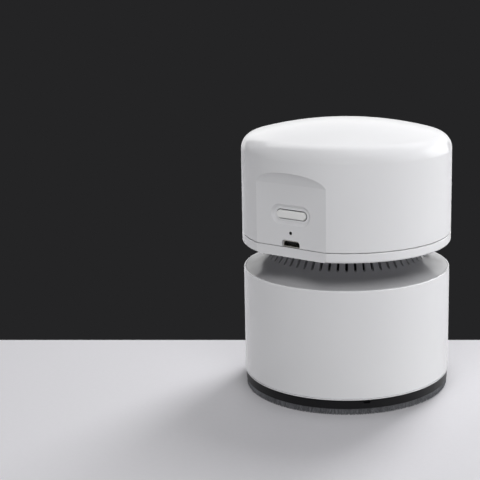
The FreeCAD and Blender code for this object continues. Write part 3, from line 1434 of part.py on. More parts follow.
def make_screws():
    """The four kinds of screw, each kind a group."""
    stack = []
    cover = []
    motor = []
    board = []
    stack_length = base_floor_top + stack_boss_height - screw_end - shroud_bottom - head_height
    cover_length = base_floor - head_height + cover_screw_bite
    for degrees in POST_DIRECTIONS:
        x, y = polar(post_circle, degrees)
        stack.append(screw("StackScrew_%d" % degrees, as_size(x), as_size(y), shroud_bottom,
                           stack_screw_radius, stack_length))
        x, y = polar(cover_boss_circle, degrees)
        cover.append(screw("CoverScrew_%d" % degrees, as_size(x), as_size(y), neck_top,
                           cover_screw_radius, cover_length))
    for side in SCREW_SIDES:
        motor.append(screw("MotorScrew_%d" % (side + 2), motor_screw_circle * side, as_size(0), neck_top,
                           motor_screw_radius, base_floor - head_height + motor_sheet + screw_show))
        board.append(screw("BoardScrew_%d" % (side + 2), board_screw_side * side, -board_screw_row,
                           board_top, board_screw_radius, board_thickness + board_lift + board_bite, True))
    for name, label, screws in (
            ("StackScrews", "stack_screws", stack), ("CoverScrews", "cover_screws", cover),
            ("MotorScrews", "motor_screws", motor), ("BoardScrews", "board_screws", board)):
        node(group(name, screws), label)


# ---------------------------------------------------------------- check and write

def write_parts():
    """Check every object and sub-part, then write one STEP file for each node."""
    doc.recompute()
    for item in doc.Objects:
        if "Invalid" in item.State or "Error" in item.State:
            raise RuntimeError("%s (%s) is in state %s" % (item.Name, item.Label, item.State))
    os.makedirs("parts", exist_ok=True)
    for item in nodes:
        if item.Shape.isNull() or not item.Shape.isValid():
            raise RuntimeError("%s has no valid shape" % item.Label)
    for item in nodes:
        item.Shape.exportStep("parts/%s.step" % item.Label)
        box = item.Shape.BoundBox
        print("%-18s solids %d volume %9.2f  x %.2f..%.2f y %.2f..%.2f z %.2f..%.2f" % (
            item.Label, len(item.Shape.Solids), item.Shape.Volume,
            box.XMin, box.XMax, box.YMin, box.YMax, box.ZMin, box.ZMax))
    print("%d nodes" % len(nodes))


make_base_ring()
make_bristle_skirt()
make_intake_brush()
make_dust_cup()
make_cup_floor()
make_intake_funnel()
make_neck_grille()
make_cup_seal()
make_fan_shroud()
make_impeller()
make_filter_frame()
make_filter_mesh()
make_filter_seal()
make_head_base()
make_head_cover()
make_power_button()
make_switch()
make_boards()
make_charge_chips()
make_usb_socket()
make_indicator()
make_motor()
make_rotor()
make_cell()
make_leads()
make_screws()
write_parts()
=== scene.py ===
# %% [markdown]
# # A desktop vacuum cleaner, dressed for its portrait
#
# The machine is the size of a mug: a drum that collects crumbs, a slotted neck that lets the air out,
# and a domed head with one button. Its solid pieces arrive as a fixed frame of named parts.
# This lesson gives every part a finish, makes the soft pieces as real bristles and cloth, and lights it.

import json
import math
import random

import bpy
from mathutils import Matrix, Vector


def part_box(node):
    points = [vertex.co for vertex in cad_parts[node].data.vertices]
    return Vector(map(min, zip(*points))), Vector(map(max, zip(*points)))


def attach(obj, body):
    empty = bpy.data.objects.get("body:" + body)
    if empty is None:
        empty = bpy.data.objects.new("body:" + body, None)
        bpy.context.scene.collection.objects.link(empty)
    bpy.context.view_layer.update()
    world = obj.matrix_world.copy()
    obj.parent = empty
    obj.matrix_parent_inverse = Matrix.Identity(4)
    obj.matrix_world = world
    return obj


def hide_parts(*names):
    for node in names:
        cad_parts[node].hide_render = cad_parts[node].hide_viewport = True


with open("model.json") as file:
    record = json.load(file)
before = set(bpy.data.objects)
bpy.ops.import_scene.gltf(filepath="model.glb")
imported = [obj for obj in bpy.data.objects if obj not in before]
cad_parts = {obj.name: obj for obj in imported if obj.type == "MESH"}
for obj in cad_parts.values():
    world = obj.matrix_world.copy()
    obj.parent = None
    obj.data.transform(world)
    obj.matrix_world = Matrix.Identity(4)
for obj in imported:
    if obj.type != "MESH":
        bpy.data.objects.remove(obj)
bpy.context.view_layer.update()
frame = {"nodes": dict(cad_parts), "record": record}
nodes = frame["nodes"]
scene = bpy.context.scene

# %% [markdown]
# ## Camera
#
# The camera looks slightly down on the desk, as a person sitting at it would, from less than half a metre.
# It is aimed at the machine and held level, so the machine's axis stands upright in the picture.
# The machine stands right of the middle, with room for its shadow at the left. The lens is shifted for that,
# as an architect's camera is: turning the camera instead would lean the drum.

# %% Place the camera
camera_place = Vector((0.23497, -0.36346, 0.16080))
camera_turn = math.radians(32.617)
camera_tilt = math.radians(79.499)

camera_data = bpy.data.cameras.new("desk_camera")
camera_data.sensor_fit = "HORIZONTAL"
camera_data.sensor_width = 36.0
camera_data.lens = 86.364
camera_data.shift_x = -0.2331
camera_data.shift_y = -0.1326
camera_data.clip_start = 0.01
desk_camera = bpy.data.objects.new("desk_camera", camera_data)
turns = Matrix.Rotation(camera_turn, 4, "Z") @ Matrix.Rotation(camera_tilt, 4, "X")
desk_camera.matrix_world = Matrix.Translation(camera_place) @ turns
scene.collection.objects.link(desk_camera)
scene.camera = desk_camera
print("camera", round(camera_place.length, 4), "m from the foot of the drum")

# %% [markdown]
# ## Colours, sizes and nodes
#
# Colours are written as they look on a screen, so one function turns them into the linear values that
# light works with. Pattern sizes are real ones in millimetres, so a second function turns a size into
# the scale that a texture needs. A wave texture packs about three bands into each unit of its own, so it has
# its own scale. One more function adds a shader node with its settings and its links.

# %% Four small helpers
def linear(screen_hex):
    """Turns a screen colour such as E4E5E6 into linear red, green, blue and alpha."""
    channels = []
    for start in (0, 2, 4):
        value = int(screen_hex[start:start + 2], 16) / 255
        channels.append(value / 12.92 if value <= 0.04045 else ((value + 0.055) / 1.055) ** 2.4)
    return (*channels, 1.0)


def per_size(millimetres):
    """Texture scale that repeats a pattern once in this many millimetres."""
    return 1000.0 / millimetres


def per_band(millimetres):
    """Scale of a wave texture that repeats its bands once in this many millimetres."""
    return per_size(millimetres) * 2 / math.tau


def add_node(tree, kind, settings=None, links=None):
    """Adds a node, sets its own settings, and gives each named input a value or a link."""
    new_node = tree.nodes.new(kind)
    for setting, value in (settings or {}).items():
        setattr(new_node, setting, value)
    for name, value in (links or {}).items():
        socket = new_node.inputs[name]
        if isinstance(value, bpy.types.NodeSocket):
            tree.links.new(value, socket)
        else:
            socket.default_value = value
    return new_node


print("white ABS in linear light:", [round(value, 3) for value in linear("E4E5E7")])

# %% [markdown]
# ## How a finish is built
#
# Nearly every finish here has the same three layers: a colour that drifts a little, a gloss that drifts a
# little, and a fine relief. The drift is what the eye reads as a real surface. A moulded part shows flow and
# handling, a drawn metal shows fine lines, and a cloth shows threads.
# So one function starts a material with its shader, and one gives it those three layers.

# %% Start a finish and give it drift and relief
def start_finish(name, roughness, ior=1.5, metallic=0.0):
    """Makes a material with one shader, and returns it with its tree, its shader and its coordinates."""
    finish = bpy.data.materials.new(name)
    finish.use_nodes = True
    tree = finish.node_tree
    tree.nodes.clear()
    shader = add_node(tree, "ShaderNodeBsdfPrincipled", None,
                      {"Roughness": roughness, "IOR": ior, "Metallic": metallic})
    add_node(tree, "ShaderNodeOutputMaterial", None, {"Surface": shader.outputs["BSDF"]})
    place = add_node(tree, "ShaderNodeTexCoord").outputs["Object"]
    return finish, tree, shader, place


def drift(tree, pattern, low, high, shader_input):
    """Spreads a pattern from 0 to 1 between two values of a shader's input."""
    spread = add_node(tree, "ShaderNodeMapRange", None,
                      {"Value": pattern, "To Min": low, "To Max": high})
    tree.links.new(spread.outputs["Result"], shader_input)


def tint(tree, pattern, dark_hex, light_hex, shader):
    """Spreads a pattern from 0 to 1 between two screen colours."""
    ramp = add_node(tree, "ShaderNodeMix", {"data_type": "RGBA"}, {0: pattern})
    ramp.inputs[6].default_value = linear(dark_hex)
    ramp.inputs[7].default_value = linear(light_hex)
    tree.links.new(ramp.outputs[2], shader.inputs["Base Color"])


def relief(tree, pattern, depth_mm, shader, strength=1.0):
    """Turns a pattern from 0 to 1 into a relief of this depth in millimetres."""
    bump = add_node(tree, "ShaderNodeBump", None,
                    {"Height": pattern, "Distance": depth_mm / 1000, "Strength": strength})
    tree.links.new(bump.outputs["Normal"], shader.inputs["Normal"])


finishes = {}
print("the finishes will be kept by the name of their slot")

# %% [markdown]
# ## White ABS, moulded against a polished tool
#
# The drum, neck and head are white acrylonitrile butadiene styrene. The tool is polished, so the skin is
# glossy, yet it never lies as flat as glass: it has a shallow orange peel of two or three millimetres.
# The eye gets soft highlights with slightly uneven edges. ABS has an IOR of about 1.54.

# %% Finish of the white shell
shell_white, tree, shader, place = start_finish("moulded white ABS", 0.2, 1.54)
flow = add_node(tree, "ShaderNodeTexNoise", None,
                {"Vector": place, "Scale": per_size(28.0), "Detail": 3.0, "Roughness": 0.5})
tint(tree, flow.outputs["Fac"], "E3E3E6", "E8E8EA", shader)
handling = add_node(tree, "ShaderNodeTexNoise", None,
                    {"Vector": place, "Scale": per_size(9.0), "Detail": 4.0, "Roughness": 0.6})
drift(tree, handling.outputs["Fac"], 0.12, 0.2, shader.inputs["Roughness"])
orange_peel = add_node(tree, "ShaderNodeTexNoise", None,
                       {"Vector": place, "Scale": per_size(2.4), "Detail": 1.0, "Roughness": 0.4})
relief(tree, orange_peel.outputs["Fac"], 0.004, shader, 0.6)
finishes["white_abs"] = shell_white
print("made", shell_white.name)

# %% [markdown]
# ## White ABS of the button
#
# The button is a separate moulding, coloured a shade whiter than the shell. Fingers
# polish it, so it is a little smoother too.

# %% Finish of the button
button_white, tree, shader, place = start_finish("polished white ABS", 0.16, 1.54)
touch = add_node(tree, "ShaderNodeTexNoise", None,
                 {"Vector": place, "Scale": per_size(5.0), "Detail": 4.0, "Roughness": 0.55})
tint(tree, touch.outputs["Fac"], "F0F0F0", "F6F6F5", shader)
drift(tree, touch.outputs["Fac"], 0.12, 0.24, shader.inputs["Roughness"])
skin = add_node(tree, "ShaderNodeTexNoise", None,
                {"Vector": place, "Scale": per_size(1.6), "Detail": 1.0})
relief(tree, skin.outputs["Fac"], 0.003, shader, 0.5)
finishes["button_abs"] = button_white
print("made", button_white.name)

# %% [markdown]
# ## Black ABS of the base ring
#
# The base is moulded in black ABS against a tool with a fine spark texture. The grain is about 0.3 mm,
# shallow, and breaks the highlight into a soft sheen.

# %% Finish of the base ring
base_black, tree, shader, place = start_finish("spark textured black ABS", 0.42, 1.54)
shader.inputs["Specular IOR Level"].default_value = 0.25
spark = add_node(tree, "ShaderNodeTexNoise", None,
                 {"Vector": place, "Scale": per_size(0.35), "Detail": 2.0, "Roughness": 0.6})
dust = add_node(tree, "ShaderNodeTexNoise", None,
                {"Vector": place, "Scale": per_size(6.0), "Detail": 5.0, "Roughness": 0.65})
tint(tree, dust.outputs["Fac"], "0C0C0D", "151517", shader)
drift(tree, dust.outputs["Fac"], 0.34, 0.5, shader.inputs["Roughness"])
relief(tree, spark.outputs["Fac"], 0.02, shader, 0.5)
finishes["black_abs"] = base_black
print("made", base_black.name)

# %% [markdown]
# ## Dark ABS of the parts in the air stream
#
# The fan, its shroud and the filter's basket are dark grey ABS, moulded matt so that they don't shine
# through the slots. Dust settles on them, so the grey drifts more than on the outside.

# %% Finish of the fan, the shroud and the basket
air_path_grey, tree, shader, place = start_finish("matt dark ABS", 0.55, 1.54)
settled = add_node(tree, "ShaderNodeTexNoise", None,
                   {"Vector": place, "Scale": per_size(4.0), "Detail": 5.0, "Roughness": 0.7})
tint(tree, settled.outputs["Fac"], "1F2022", "2D2E31", shader)
drift(tree, settled.outputs["Fac"], 0.48, 0.66, shader.inputs["Roughness"])
grain = add_node(tree, "ShaderNodeTexNoise", None,
                 {"Vector": place, "Scale": per_size(0.4), "Detail": 2.0})
relief(tree, grain.outputs["Fac"], 0.02, shader, 0.5)
finishes["dark_abs"] = air_path_grey
print("made", air_path_grey.name)

# %% [markdown]
# ## Nylon of the bristles
#
# The skirt and the two brush strips are extruded nylon monofilament in grey. Each bristle takes dye and
# light a little differently, so the colour changes over half a millimetre. Nylon has an IOR of about 1.53.

# %% Finish of the bristles
bristle_grey, tree, shader, place = start_finish("grey nylon bristle", 0.42, 1.53)
strands = add_node(tree, "ShaderNodeTexNoise", None,
                   {"Vector": place, "Scale": per_size(0.5), "Detail": 2.0, "Roughness": 0.6})
tint(tree, strands.outputs["Fac"], "46474B", "86878B", shader)
drift(tree, strands.outputs["Fac"], 0.34, 0.5, shader.inputs["Roughness"])
finishes["bristle"] = bristle_grey
print("made", bristle_grey.name)

# %% [markdown]
# ## Silicone of the seals
#
# The ring round the spigot and the filter's gasket are moulded silicone rubber. It is matt and slightly
# powdery, with a fine bloom that shows as pale specks.

# %% Finish of the seals
seal_grey, tree, shader, place = start_finish("grey silicone rubber", 0.62, 1.43)
bloom = add_node(tree, "ShaderNodeTexNoise", None,
                 {"Vector": place, "Scale": per_size(0.8), "Detail": 4.0, "Roughness": 0.7})
tint(tree, bloom.outputs["Fac"], "6C6E72", "8A8C90", shader)
drift(tree, bloom.outputs["Fac"], 0.55, 0.72, shader.inputs["Roughness"])
relief(tree, bloom.outputs["Fac"], 0.02, shader, 0.5)
finishes["grey_silicone"] = seal_grey
print("made", seal_grey.name)

# %% [markdown]
# ## Solder mask on the circuit boards
#
# The boards are glass and epoxy under a green solder mask. The copper tracks underneath lift the mask a
# little and make it lighter, in straight runs about 0.5 mm wide on a 2 mm grid.

# %% Finish of the boards
board_green, tree, shader, place = start_finish("green solder mask", 0.32, 1.5)
tracks = add_node(tree, "ShaderNodeTexBrick", {"offset": 0.35, "offset_frequency": 3},
                  {"Vector": place, "Scale": per_size(4.0), "Mortar Size": 0.06, "Mortar Smooth": 0.2,
                   "Brick Width": 1.1, "Row Height": 0.5})
tint(tree, tracks.outputs["Fac"], "0F4726", "1D6B3B", shader)
relief(tree, tracks.outputs["Fac"], 0.035, shader, 0.7)
finishes["green_board"] = board_green
print("made", board_green.name)

# %% [markdown]
# ## Nickel on the charging socket
#
# The socket's shell is folded from steel strip and plated with bright nickel. Rolling leaves faint lines
# along the strip, which pull the highlight into a streak. A metal keeps the default IOR.

# %% Finish of the socket's shell
socket_nickel, tree, shader, place = start_finish("nickel plated strip", 0.24, metallic=1.0)
rolled = add_node(tree, "ShaderNodeTexNoise", None,
                  {"Vector": add_node(tree, "ShaderNodeMapping", None,
                                      {"Vector": place, "Scale": (0.08, 1.0, 1.0)}).outputs["Vector"],
                   "Scale": per_size(0.15), "Detail": 3.0})
tint(tree, rolled.outputs["Fac"], "B7B4AC", "D4D1C9", shader)
drift(tree, rolled.outputs["Fac"], 0.18, 0.34, shader.inputs["Roughness"])
relief(tree, rolled.outputs["Fac"], 0.004, shader, 0.5)
finishes["steel_sheet"] = socket_nickel
print("made", socket_nickel.name)

# %% [markdown]
# ## Moulding compound of the chips
#
# Chips are cast in black epoxy filled with ground silica. The filler gives a dry, sandy skin.

# %% Finish of the chips
chip_black, tree, shader, place = start_finish("silica filled epoxy", 0.68, 1.55)
filler = add_node(tree, "ShaderNodeTexNoise", None,
                  {"Vector": place, "Scale": per_size(0.25), "Detail": 3.0, "Roughness": 0.7})
tint(tree, filler.outputs["Fac"], "141416", "242427", shader)
relief(tree, filler.outputs["Fac"], 0.01, shader, 0.6)
finishes["chip_epoxy"] = chip_black
print("made", chip_black.name)

# %% [markdown]
# ## The light and its pipe
#
# The status light is cast in water clear epoxy with a yellow phosphor. A small pipe of smoked acrylic
# carries its light to the panel. When the light is off the pipe looks like a black dot with a wet gloss.

# %% Finish of the light and the pipe
lamp_epoxy, tree, shader, place = start_finish("phosphor epoxy", 0.2, 1.5)
phosphor = add_node(tree, "ShaderNodeTexNoise", None,
                    {"Vector": place, "Scale": per_size(0.2), "Detail": 2.0})
tint(tree, phosphor.outputs["Fac"], "E9DE9E", "F4ECBC", shader)
relief(tree, phosphor.outputs["Fac"], 0.004, shader, 0.4)
finishes["led_lens"] = lamp_epoxy

pipe_smoke, tree, shader, place = start_finish("smoked acrylic", 0.12, 1.49)
streaks = add_node(tree, "ShaderNodeTexNoise", None,
                   {"Vector": place, "Scale": per_size(0.6), "Detail": 2.0})
tint(tree, streaks.outputs["Fac"], "070708", "0E0E10", shader)
drift(tree, streaks.outputs["Fac"], 0.08, 0.18, shader.inputs["Roughness"])
finishes["smoked_acrylic"] = pipe_smoke
print("made", lamp_epoxy.name, "and", pipe_smoke.name)

# %% [markdown]
# ## Shrink sleeve of the cell
#
# The lithium cell wears a blue PVC sleeve, shrunk on with hot air. It clings to the can with faint lengthwise
# wrinkles a millimetre or two apart.

# %% Finish of the cell
sleeve_blue, tree, shader, place = start_finish("blue shrink sleeve", 0.28, 1.53)
wrinkles = add_node(tree, "ShaderNodeTexNoise", None,
                    {"Vector": add_node(tree, "ShaderNodeMapping", None,
                                        {"Vector": place, "Scale": (0.12, 1.0, 1.0)}).outputs["Vector"],
                     "Scale": per_size(1.8), "Detail": 3.0})
tint(tree, wrinkles.outputs["Fac"], "1F4E92", "2C66B4", shader)
drift(tree, wrinkles.outputs["Fac"], 0.22, 0.36, shader.inputs["Roughness"])
relief(tree, wrinkles.outputs["Fac"], 0.03, shader, 0.6)
finishes["cell_sleeve"] = sleeve_blue
print("made", sleeve_blue.name)

# %% [markdown]
# ## Insulation of the leads
#
# The leads are extruded PVC, red and black. The die leaves the skin smooth with a soft sheen.

# %% Finish of the red and the black leads
lead_finishes = {"red_pvc": ("red PVC insulation", "9E1512", "B3221C"),
                 "black_pvc": ("black PVC insulation", "111112", "1C1C1E")}
for slot_name, (title, dark_hex, light_hex) in lead_finishes.items():
    lead_finish, tree, shader, place = start_finish(title, 0.35, 1.53)
    die_lines = add_node(tree, "ShaderNodeTexNoise", None,
                         {"Vector": place, "Scale": per_size(1.2), "Detail": 3.0})
    tint(tree, die_lines.outputs["Fac"], dark_hex, light_hex, shader)
    drift(tree, die_lines.outputs["Fac"], 0.3, 0.42, shader.inputs["Roughness"])
    relief(tree, die_lines.outputs["Fac"], 0.006, shader, 0.4)
    finishes[slot_name] = lead_finish
print("made", len(lead_finishes), "lead finishes")

# %% [markdown]
# ## Metals inside the head
#
# The motor's can is deep drawn steel with a dull zinc plate, which shows as a mottled grey. The screws are
# zinc plated too. The contact tabs are nickel strip, the terminals brass, and the bearings are sintered
# bronze with pores of about 0.15 mm. Each is told apart by its colour, its gloss and its relief.

# %% Finish of the metals
# Each row: title, dark and light colour, least and most roughness, pattern size and relief in millimetres.
metals = {
    "zinc_steel": ("zinc plated drawn steel", "9A9B9C", "B4B5B5", 0.30, 0.44, 2.5, 0.006),
    "steel_screw": ("zinc plated screw steel", "8E8F91", "ACADAE", 0.26, 0.40, 0.8, 0.006),
    "nickel": ("pure nickel strip", "B3AFA6", "CBC7BD", 0.22, 0.36, 1.2, 0.004),
    "brass_tabs": ("half hard brass", "B8923F", "D0AA58", 0.24, 0.38, 1.0, 0.004),
    "bronze": ("sintered bronze", "7D5A30", "9C7644", 0.42, 0.60, 0.15, 0.02),
}
for slot_name, (title, dark_hex, light_hex, smooth, rough, size_mm, depth_mm) in metals.items():
    metal_finish, tree, shader, place = start_finish(title, smooth, metallic=1.0)
    mottle = add_node(tree, "ShaderNodeTexNoise", None,
                      {"Vector": place, "Scale": per_size(size_mm), "Detail": 4.0, "Roughness": 0.6})
    tint(tree, mottle.outputs["Fac"], dark_hex, light_hex, shader)
    drift(tree, mottle.outputs["Fac"], smooth, rough, shader.inputs["Roughness"])
    relief(tree, mottle.outputs["Fac"], depth_mm, shader, 0.6)
    finishes[slot_name] = metal_finish
print("made", len(metals), "metals")

# %% [markdown]
# ## Nylon, ferrite and copper of the motor
#
# The end cap is natural nylon, a warm white. The magnets are pressed ferrite, dark and ceramic. The armature
# is a stack of 0.5 mm iron sheets, drawn here 1 mm apart so that they show, and the commutator has copper
# bars round it.

# %% Finish of the motor's nylon and ferrite
cap_nylon, tree, shader, place = start_finish("natural nylon", 0.5, 1.53)
moulding = add_node(tree, "ShaderNodeTexNoise", None,
                    {"Vector": place, "Scale": per_size(3.0), "Detail": 3.0})
tint(tree, moulding.outputs["Fac"], "D8D3C2", "E6E2D3", shader)
drift(tree, moulding.outputs["Fac"], 0.44, 0.58, shader.inputs["Roughness"])
relief(tree, moulding.outputs["Fac"], 0.01, shader, 0.5)
finishes["white_nylon"] = cap_nylon

magnet_ferrite, tree, shader, place = start_finish("pressed ferrite", 0.6, 1.9)
press = add_node(tree, "ShaderNodeTexNoise", None,
                 {"Vector": place, "Scale": per_size(0.4), "Detail": 4.0, "Roughness": 0.7})
tint(tree, press.outputs["Fac"], "232325", "363638", shader)
relief(tree, press.outputs["Fac"], 0.02, shader, 0.6)
finishes["ferrite"] = magnet_ferrite
print("made", cap_nylon.name, "and", magnet_ferrite.name)

# %% Finish of the armature and the commutator
armature_copper, tree, shader, place = start_finish("stacked sheets and enamelled copper", 0.35,
                                                    metallic=1.0)
sheets = add_node(tree, "ShaderNodeTexWave", {"bands_direction": "Z"},
                  {"Vector": place, "Scale": per_band(1.0), "Distortion": 0.4, "Detail": 1.0})
tint(tree, sheets.outputs["Fac"], "8A4E22", "C27F46", shader)
relief(tree, sheets.outputs["Fac"], 0.04, shader, 0.7)
finishes["copper_winding"] = armature_copper

bar_copper, tree, shader, place = start_finish("hard drawn copper bars", 0.28, metallic=1.0)
bars = add_node(tree, "ShaderNodeTexWave", {"bands_direction": "DIAGONAL"},
                {"Vector": place, "Scale": per_band(1.5), "Distortion": 0.2})
tint(tree, bars.outputs["Fac"], "8C4B2A", "C98358", shader)
relief(tree, bars.outputs["Fac"], 0.03, shader, 0.6)
finishes["copper_bars"] = bar_copper
print("made", armature_copper.name, "and", bar_copper.name)

# %% [markdown]
# ## Filter cloth
#
# The filter is a fine woven polyester. Its threads are about 0.12 mm apart, too fine to show, so they are
# drawn 0.5 mm apart. Two crossed waves make the weave: one runs round the cup and one up it.

# %% Finish of the filter cloth
cloth_white, tree, shader, place = start_finish("woven polyester filter cloth", 0.8, 1.5)
shader.inputs["Sheen Weight"].default_value = 0.2
warp = add_node(tree, "ShaderNodeTexWave", {"bands_direction": "Z"},
                {"Vector": place, "Scale": per_band(0.5), "Distortion": 0.3})
weft = add_node(tree, "ShaderNodeTexWave", {"bands_direction": "DIAGONAL"},
                {"Vector": place, "Scale": per_band(0.5), "Distortion": 0.3})
weave = add_node(tree, "ShaderNodeMath", {"operation": "MULTIPLY"},
                 {0: warp.outputs["Fac"], 1: weft.outputs["Fac"]})
tint(tree, weave.outputs["Value"], "A9ABAC", "D5D6D6", shader)
relief(tree, weave.outputs["Value"], 0.06, shader, 0.7)
finishes["filter_cloth"] = cloth_white
print("made", cloth_white.name)

# %% [markdown]
# ## Finishes on the parts
#
# Each part of the frame names the slot of its material in the record, so the finish is looked up there.

# %% Give every part its finish
for part in frame["record"]["subparts"]:
    part_mesh = nodes[part["node"]].data
    part_mesh.materials.clear()
    part_mesh.materials.append(finishes[part["material_slot"]])

# %% [markdown]
# ## Bristle skirt
#
# The machine stands on a ring of short nylon bristles, which keeps crumbs under it and lets it slide.
# In the frame that is a closed ring. Here it is three rows of single bristles, set a quarter of a
# millimetre apart, each leaning a little its own way. A bristle is a three sided spike with a blunt tip:
# at this size that is all the eye can see of it.

# %% A bristle, and a mesh made of many
def add_bristle(points, faces, root, tip, root_width, tip_width, turn):
    """Adds a three sided bristle that tapers from its root to its tip."""
    start = len(points)
    for centre, width in ((root, root_width), (tip, tip_width)):
        for corner in range(3):
            angle = turn + corner * math.tau / 3
            points.append((centre[0] + width / 2 * math.cos(angle),
                           centre[1] + width / 2 * math.sin(angle), centre[2]))
    for corner in range(3):
        following = (corner + 1) % 3
        faces.append((start + corner, start + 3 + corner, start + 3 + following, start + following))
    faces.append((start + 5, start + 4, start + 3))


def bristle_object(name, points, faces):
    """Makes one object from a list of bristles and gives it the nylon finish."""
    bristle_mesh = bpy.data.meshes.new(name)
    bristle_mesh.from_pydata(points, [], faces)
    bristle_mesh.materials.append(bristle_grey)
    for face in bristle_mesh.polygons:
        face.use_smooth = False
    bristles = bpy.data.objects.new(name, bristle_mesh)
    scene.collection.objects.link(bristles)
    return bristles


# %% Plant the skirt
skirt_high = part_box("bristle_skirt")[1]
skirt_radius = skirt_high[0]
skirt_root = skirt_high[2]
row_insets = (0.0002, 0.00062, 0.0011)
bristles_in_row = 900
furthest_lean = 0.0009
root_width, tip_width = 0.00026, 0.00017
blunt_tips = (0.0, 0.0, 0.00005, 0.00012)
chance = random.Random(11)
points, faces = [], []
for row, inset in enumerate(row_insets):
    radius = skirt_radius - inset
    for step in range(bristles_in_row):
        angle = (step + row / 3 + chance.uniform(-0.25, 0.25)) * math.tau / bristles_in_row
        lean = chance.uniform(-furthest_lean, furthest_lean)
        splay = chance.uniform(-0.00012, 0.00010)
        root = (radius * math.cos(angle), radius * math.sin(angle), skirt_root)
        tip = ((radius + splay) * math.cos(angle + lean / radius * 0.35),
               (radius + splay) * math.sin(angle + lean / radius * 0.35),
               chance.choice(blunt_tips))
        add_bristle(points, faces, root, tip, root_width, tip_width, chance.uniform(0, math.tau))
skirt_bristles = bristle_object("skirt_bristles", points, faces)
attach(skirt_bristles, "base")
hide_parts("bristle_skirt")
print("skirt of", len(faces) // 4, "bristles")

# %% [markdown]
# ## Brush strips
#
# Two strips of the same bristle flank the intake under the base and loosen crumbs. They are planted in tufts,
# a millimetre apart, so each tuft's bristles start close together and fan out.

# %% Plant the strips
strip_low, strip_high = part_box("intake_brush")
strip_root = strip_high[2]
strip_tip = strip_low[2]
strip_outer = strip_high[0]
strip_width = 0.0018
strip_middle = strip_outer - strip_width / 2
tufts, hairs_in_tuft = 24, 26
end_margin = 0.0005
first_tuft = strip_low[1] + end_margin
tuft_spacing = (strip_high[1] - strip_low[1] - 2 * end_margin) / (tufts - 1)
hair_root_width, hair_tip_width = 0.00024, 0.00016
points, faces = [], []
for side in (-1, 1):
    for tuft in range(tufts):
        middle_y = first_tuft + tuft * tuft_spacing
        for hair in range(hairs_in_tuft):
            root_x = side * (strip_middle + chance.uniform(-0.0005, 0.0005))
            root_y = middle_y + chance.uniform(-0.00035, 0.00035)
            tip_x = root_x + chance.uniform(-0.00035, 0.00035)
            tip_y = min(max(root_y + chance.uniform(-0.0004, 0.0004), strip_low[1]), strip_high[1])
            add_bristle(points, faces, (root_x, root_y, strip_root),
                        (tip_x, tip_y, strip_tip + chance.uniform(0, 0.0003)),
                        hair_root_width, hair_tip_width, chance.uniform(0, math.tau))
strip_bristles = bristle_object("strip_bristles", points, faces)
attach(strip_bristles, "base")
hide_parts("intake_brush")
print("strips of", len(faces) // 4, "bristles")

# %% [markdown]
# ## Filter cloth cup
#
# The cloth lines the basket and is welded to its ribs. Between the twelve ribs the air stream draws it
# inward, so it bows by half a millimetre in each window. It is built as rings of points from the rim down to
# the floor, and given its thickness afterwards. It is cut from one piece of cloth, as a strip for the wall
# with the floor's disc beside it.

# %% Shape the cloth
cloth_low, cloth_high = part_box("filter_mesh")
skin_gap = 0.0001
weld_band = 0.0015
wall_taper = 0.0075
deepest_bow = 0.0005
windows = 12
floor_rings = (0.8, 0.55, 0.3, 0.08)
rim_radius = cloth_high[0] - skin_gap
foot_radius = rim_radius - wall_taper
wall_top = cloth_high[2] - weld_band
cup_foot = cloth_low[2] + skin_gap
ring_steps = 180
wall_rings = 16
points, faces = [], []
for ring in range(wall_rings + 1):
    down = ring / wall_rings
    height = wall_top - down * (wall_top - cup_foot)
    bow = deepest_bow * math.sin(math.pi * min(1.0, max(0.0, (down - 0.05) / 0.9)))
    for step in range(ring_steps):
        angle = step * math.tau / ring_steps
        window = max(0.0, math.cos(windows * (angle + math.pi / 2)))
        radius = rim_radius - down * (rim_radius - foot_radius) - bow * window
        points.append((radius * math.cos(angle), radius * math.sin(angle), height))
for ring_radius in floor_rings:
    for step in range(ring_steps):
        angle = step * math.tau / ring_steps
        points.append((foot_radius * ring_radius * math.cos(angle),
                       foot_radius * ring_radius * math.sin(angle), cup_foot))
ring_total = wall_rings + 1 + len(floor_rings)
for ring in range(ring_total - 1):
    for step in range(ring_steps):
        following = (step + 1) % ring_steps
        faces.append((ring * ring_steps + step, (ring + 1) * ring_steps + step,
                      (ring + 1) * ring_steps + following, ring * ring_steps + following))
faces.append(tuple((ring_total - 1) * ring_steps + step for step in range(ring_steps)))
print("cloth of", len(points), "points, bowed between ribs")

# %% Sew it into the basket
cloth_mesh = bpy.data.meshes.new("filter_cloth_cup")
cloth_mesh.from_pydata(points, [], faces)
cloth_mesh.materials.append(cloth_white)
for face in cloth_mesh.polygons:
    face.use_smooth = True
cloth_cup = bpy.data.objects.new("filter_cloth_cup", cloth_mesh)
scene.collection.objects.link(cloth_cup)
thickness = cloth_cup.modifiers.new("thickness", "SOLIDIFY")
thickness.thickness = 0.00035
thickness.offset = 0.0
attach(cloth_cup, "filter")
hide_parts("filter_mesh")

# %% [markdown]
# ## Collars in the panel
#
# Two thin black collars sit in the panel's openings. The one round the button is painted shade: a black band
# set in the button's gap so that the gap shows as a dark line. The other lines the hole of the light pipe and
# keeps its light out of the white shell.
# Each is a closed band that follows its opening, so one function makes both: a round hole is only a pill
# as wide as it is high.

# %% A collar in a pill shaped opening
def pill_outline(width, height, steps):
    """Points of a pill shape round its own centre, as pairs of x and z."""
    radius = height / 2
    reach = (width - height) / 2
    outline = []
    for step in range(steps):
        angle = (step + 0.5) * math.tau / steps
        outline.append((math.copysign(reach, math.cos(angle)) + radius * math.cos(angle),
                        radius * math.sin(angle)))
    return outline


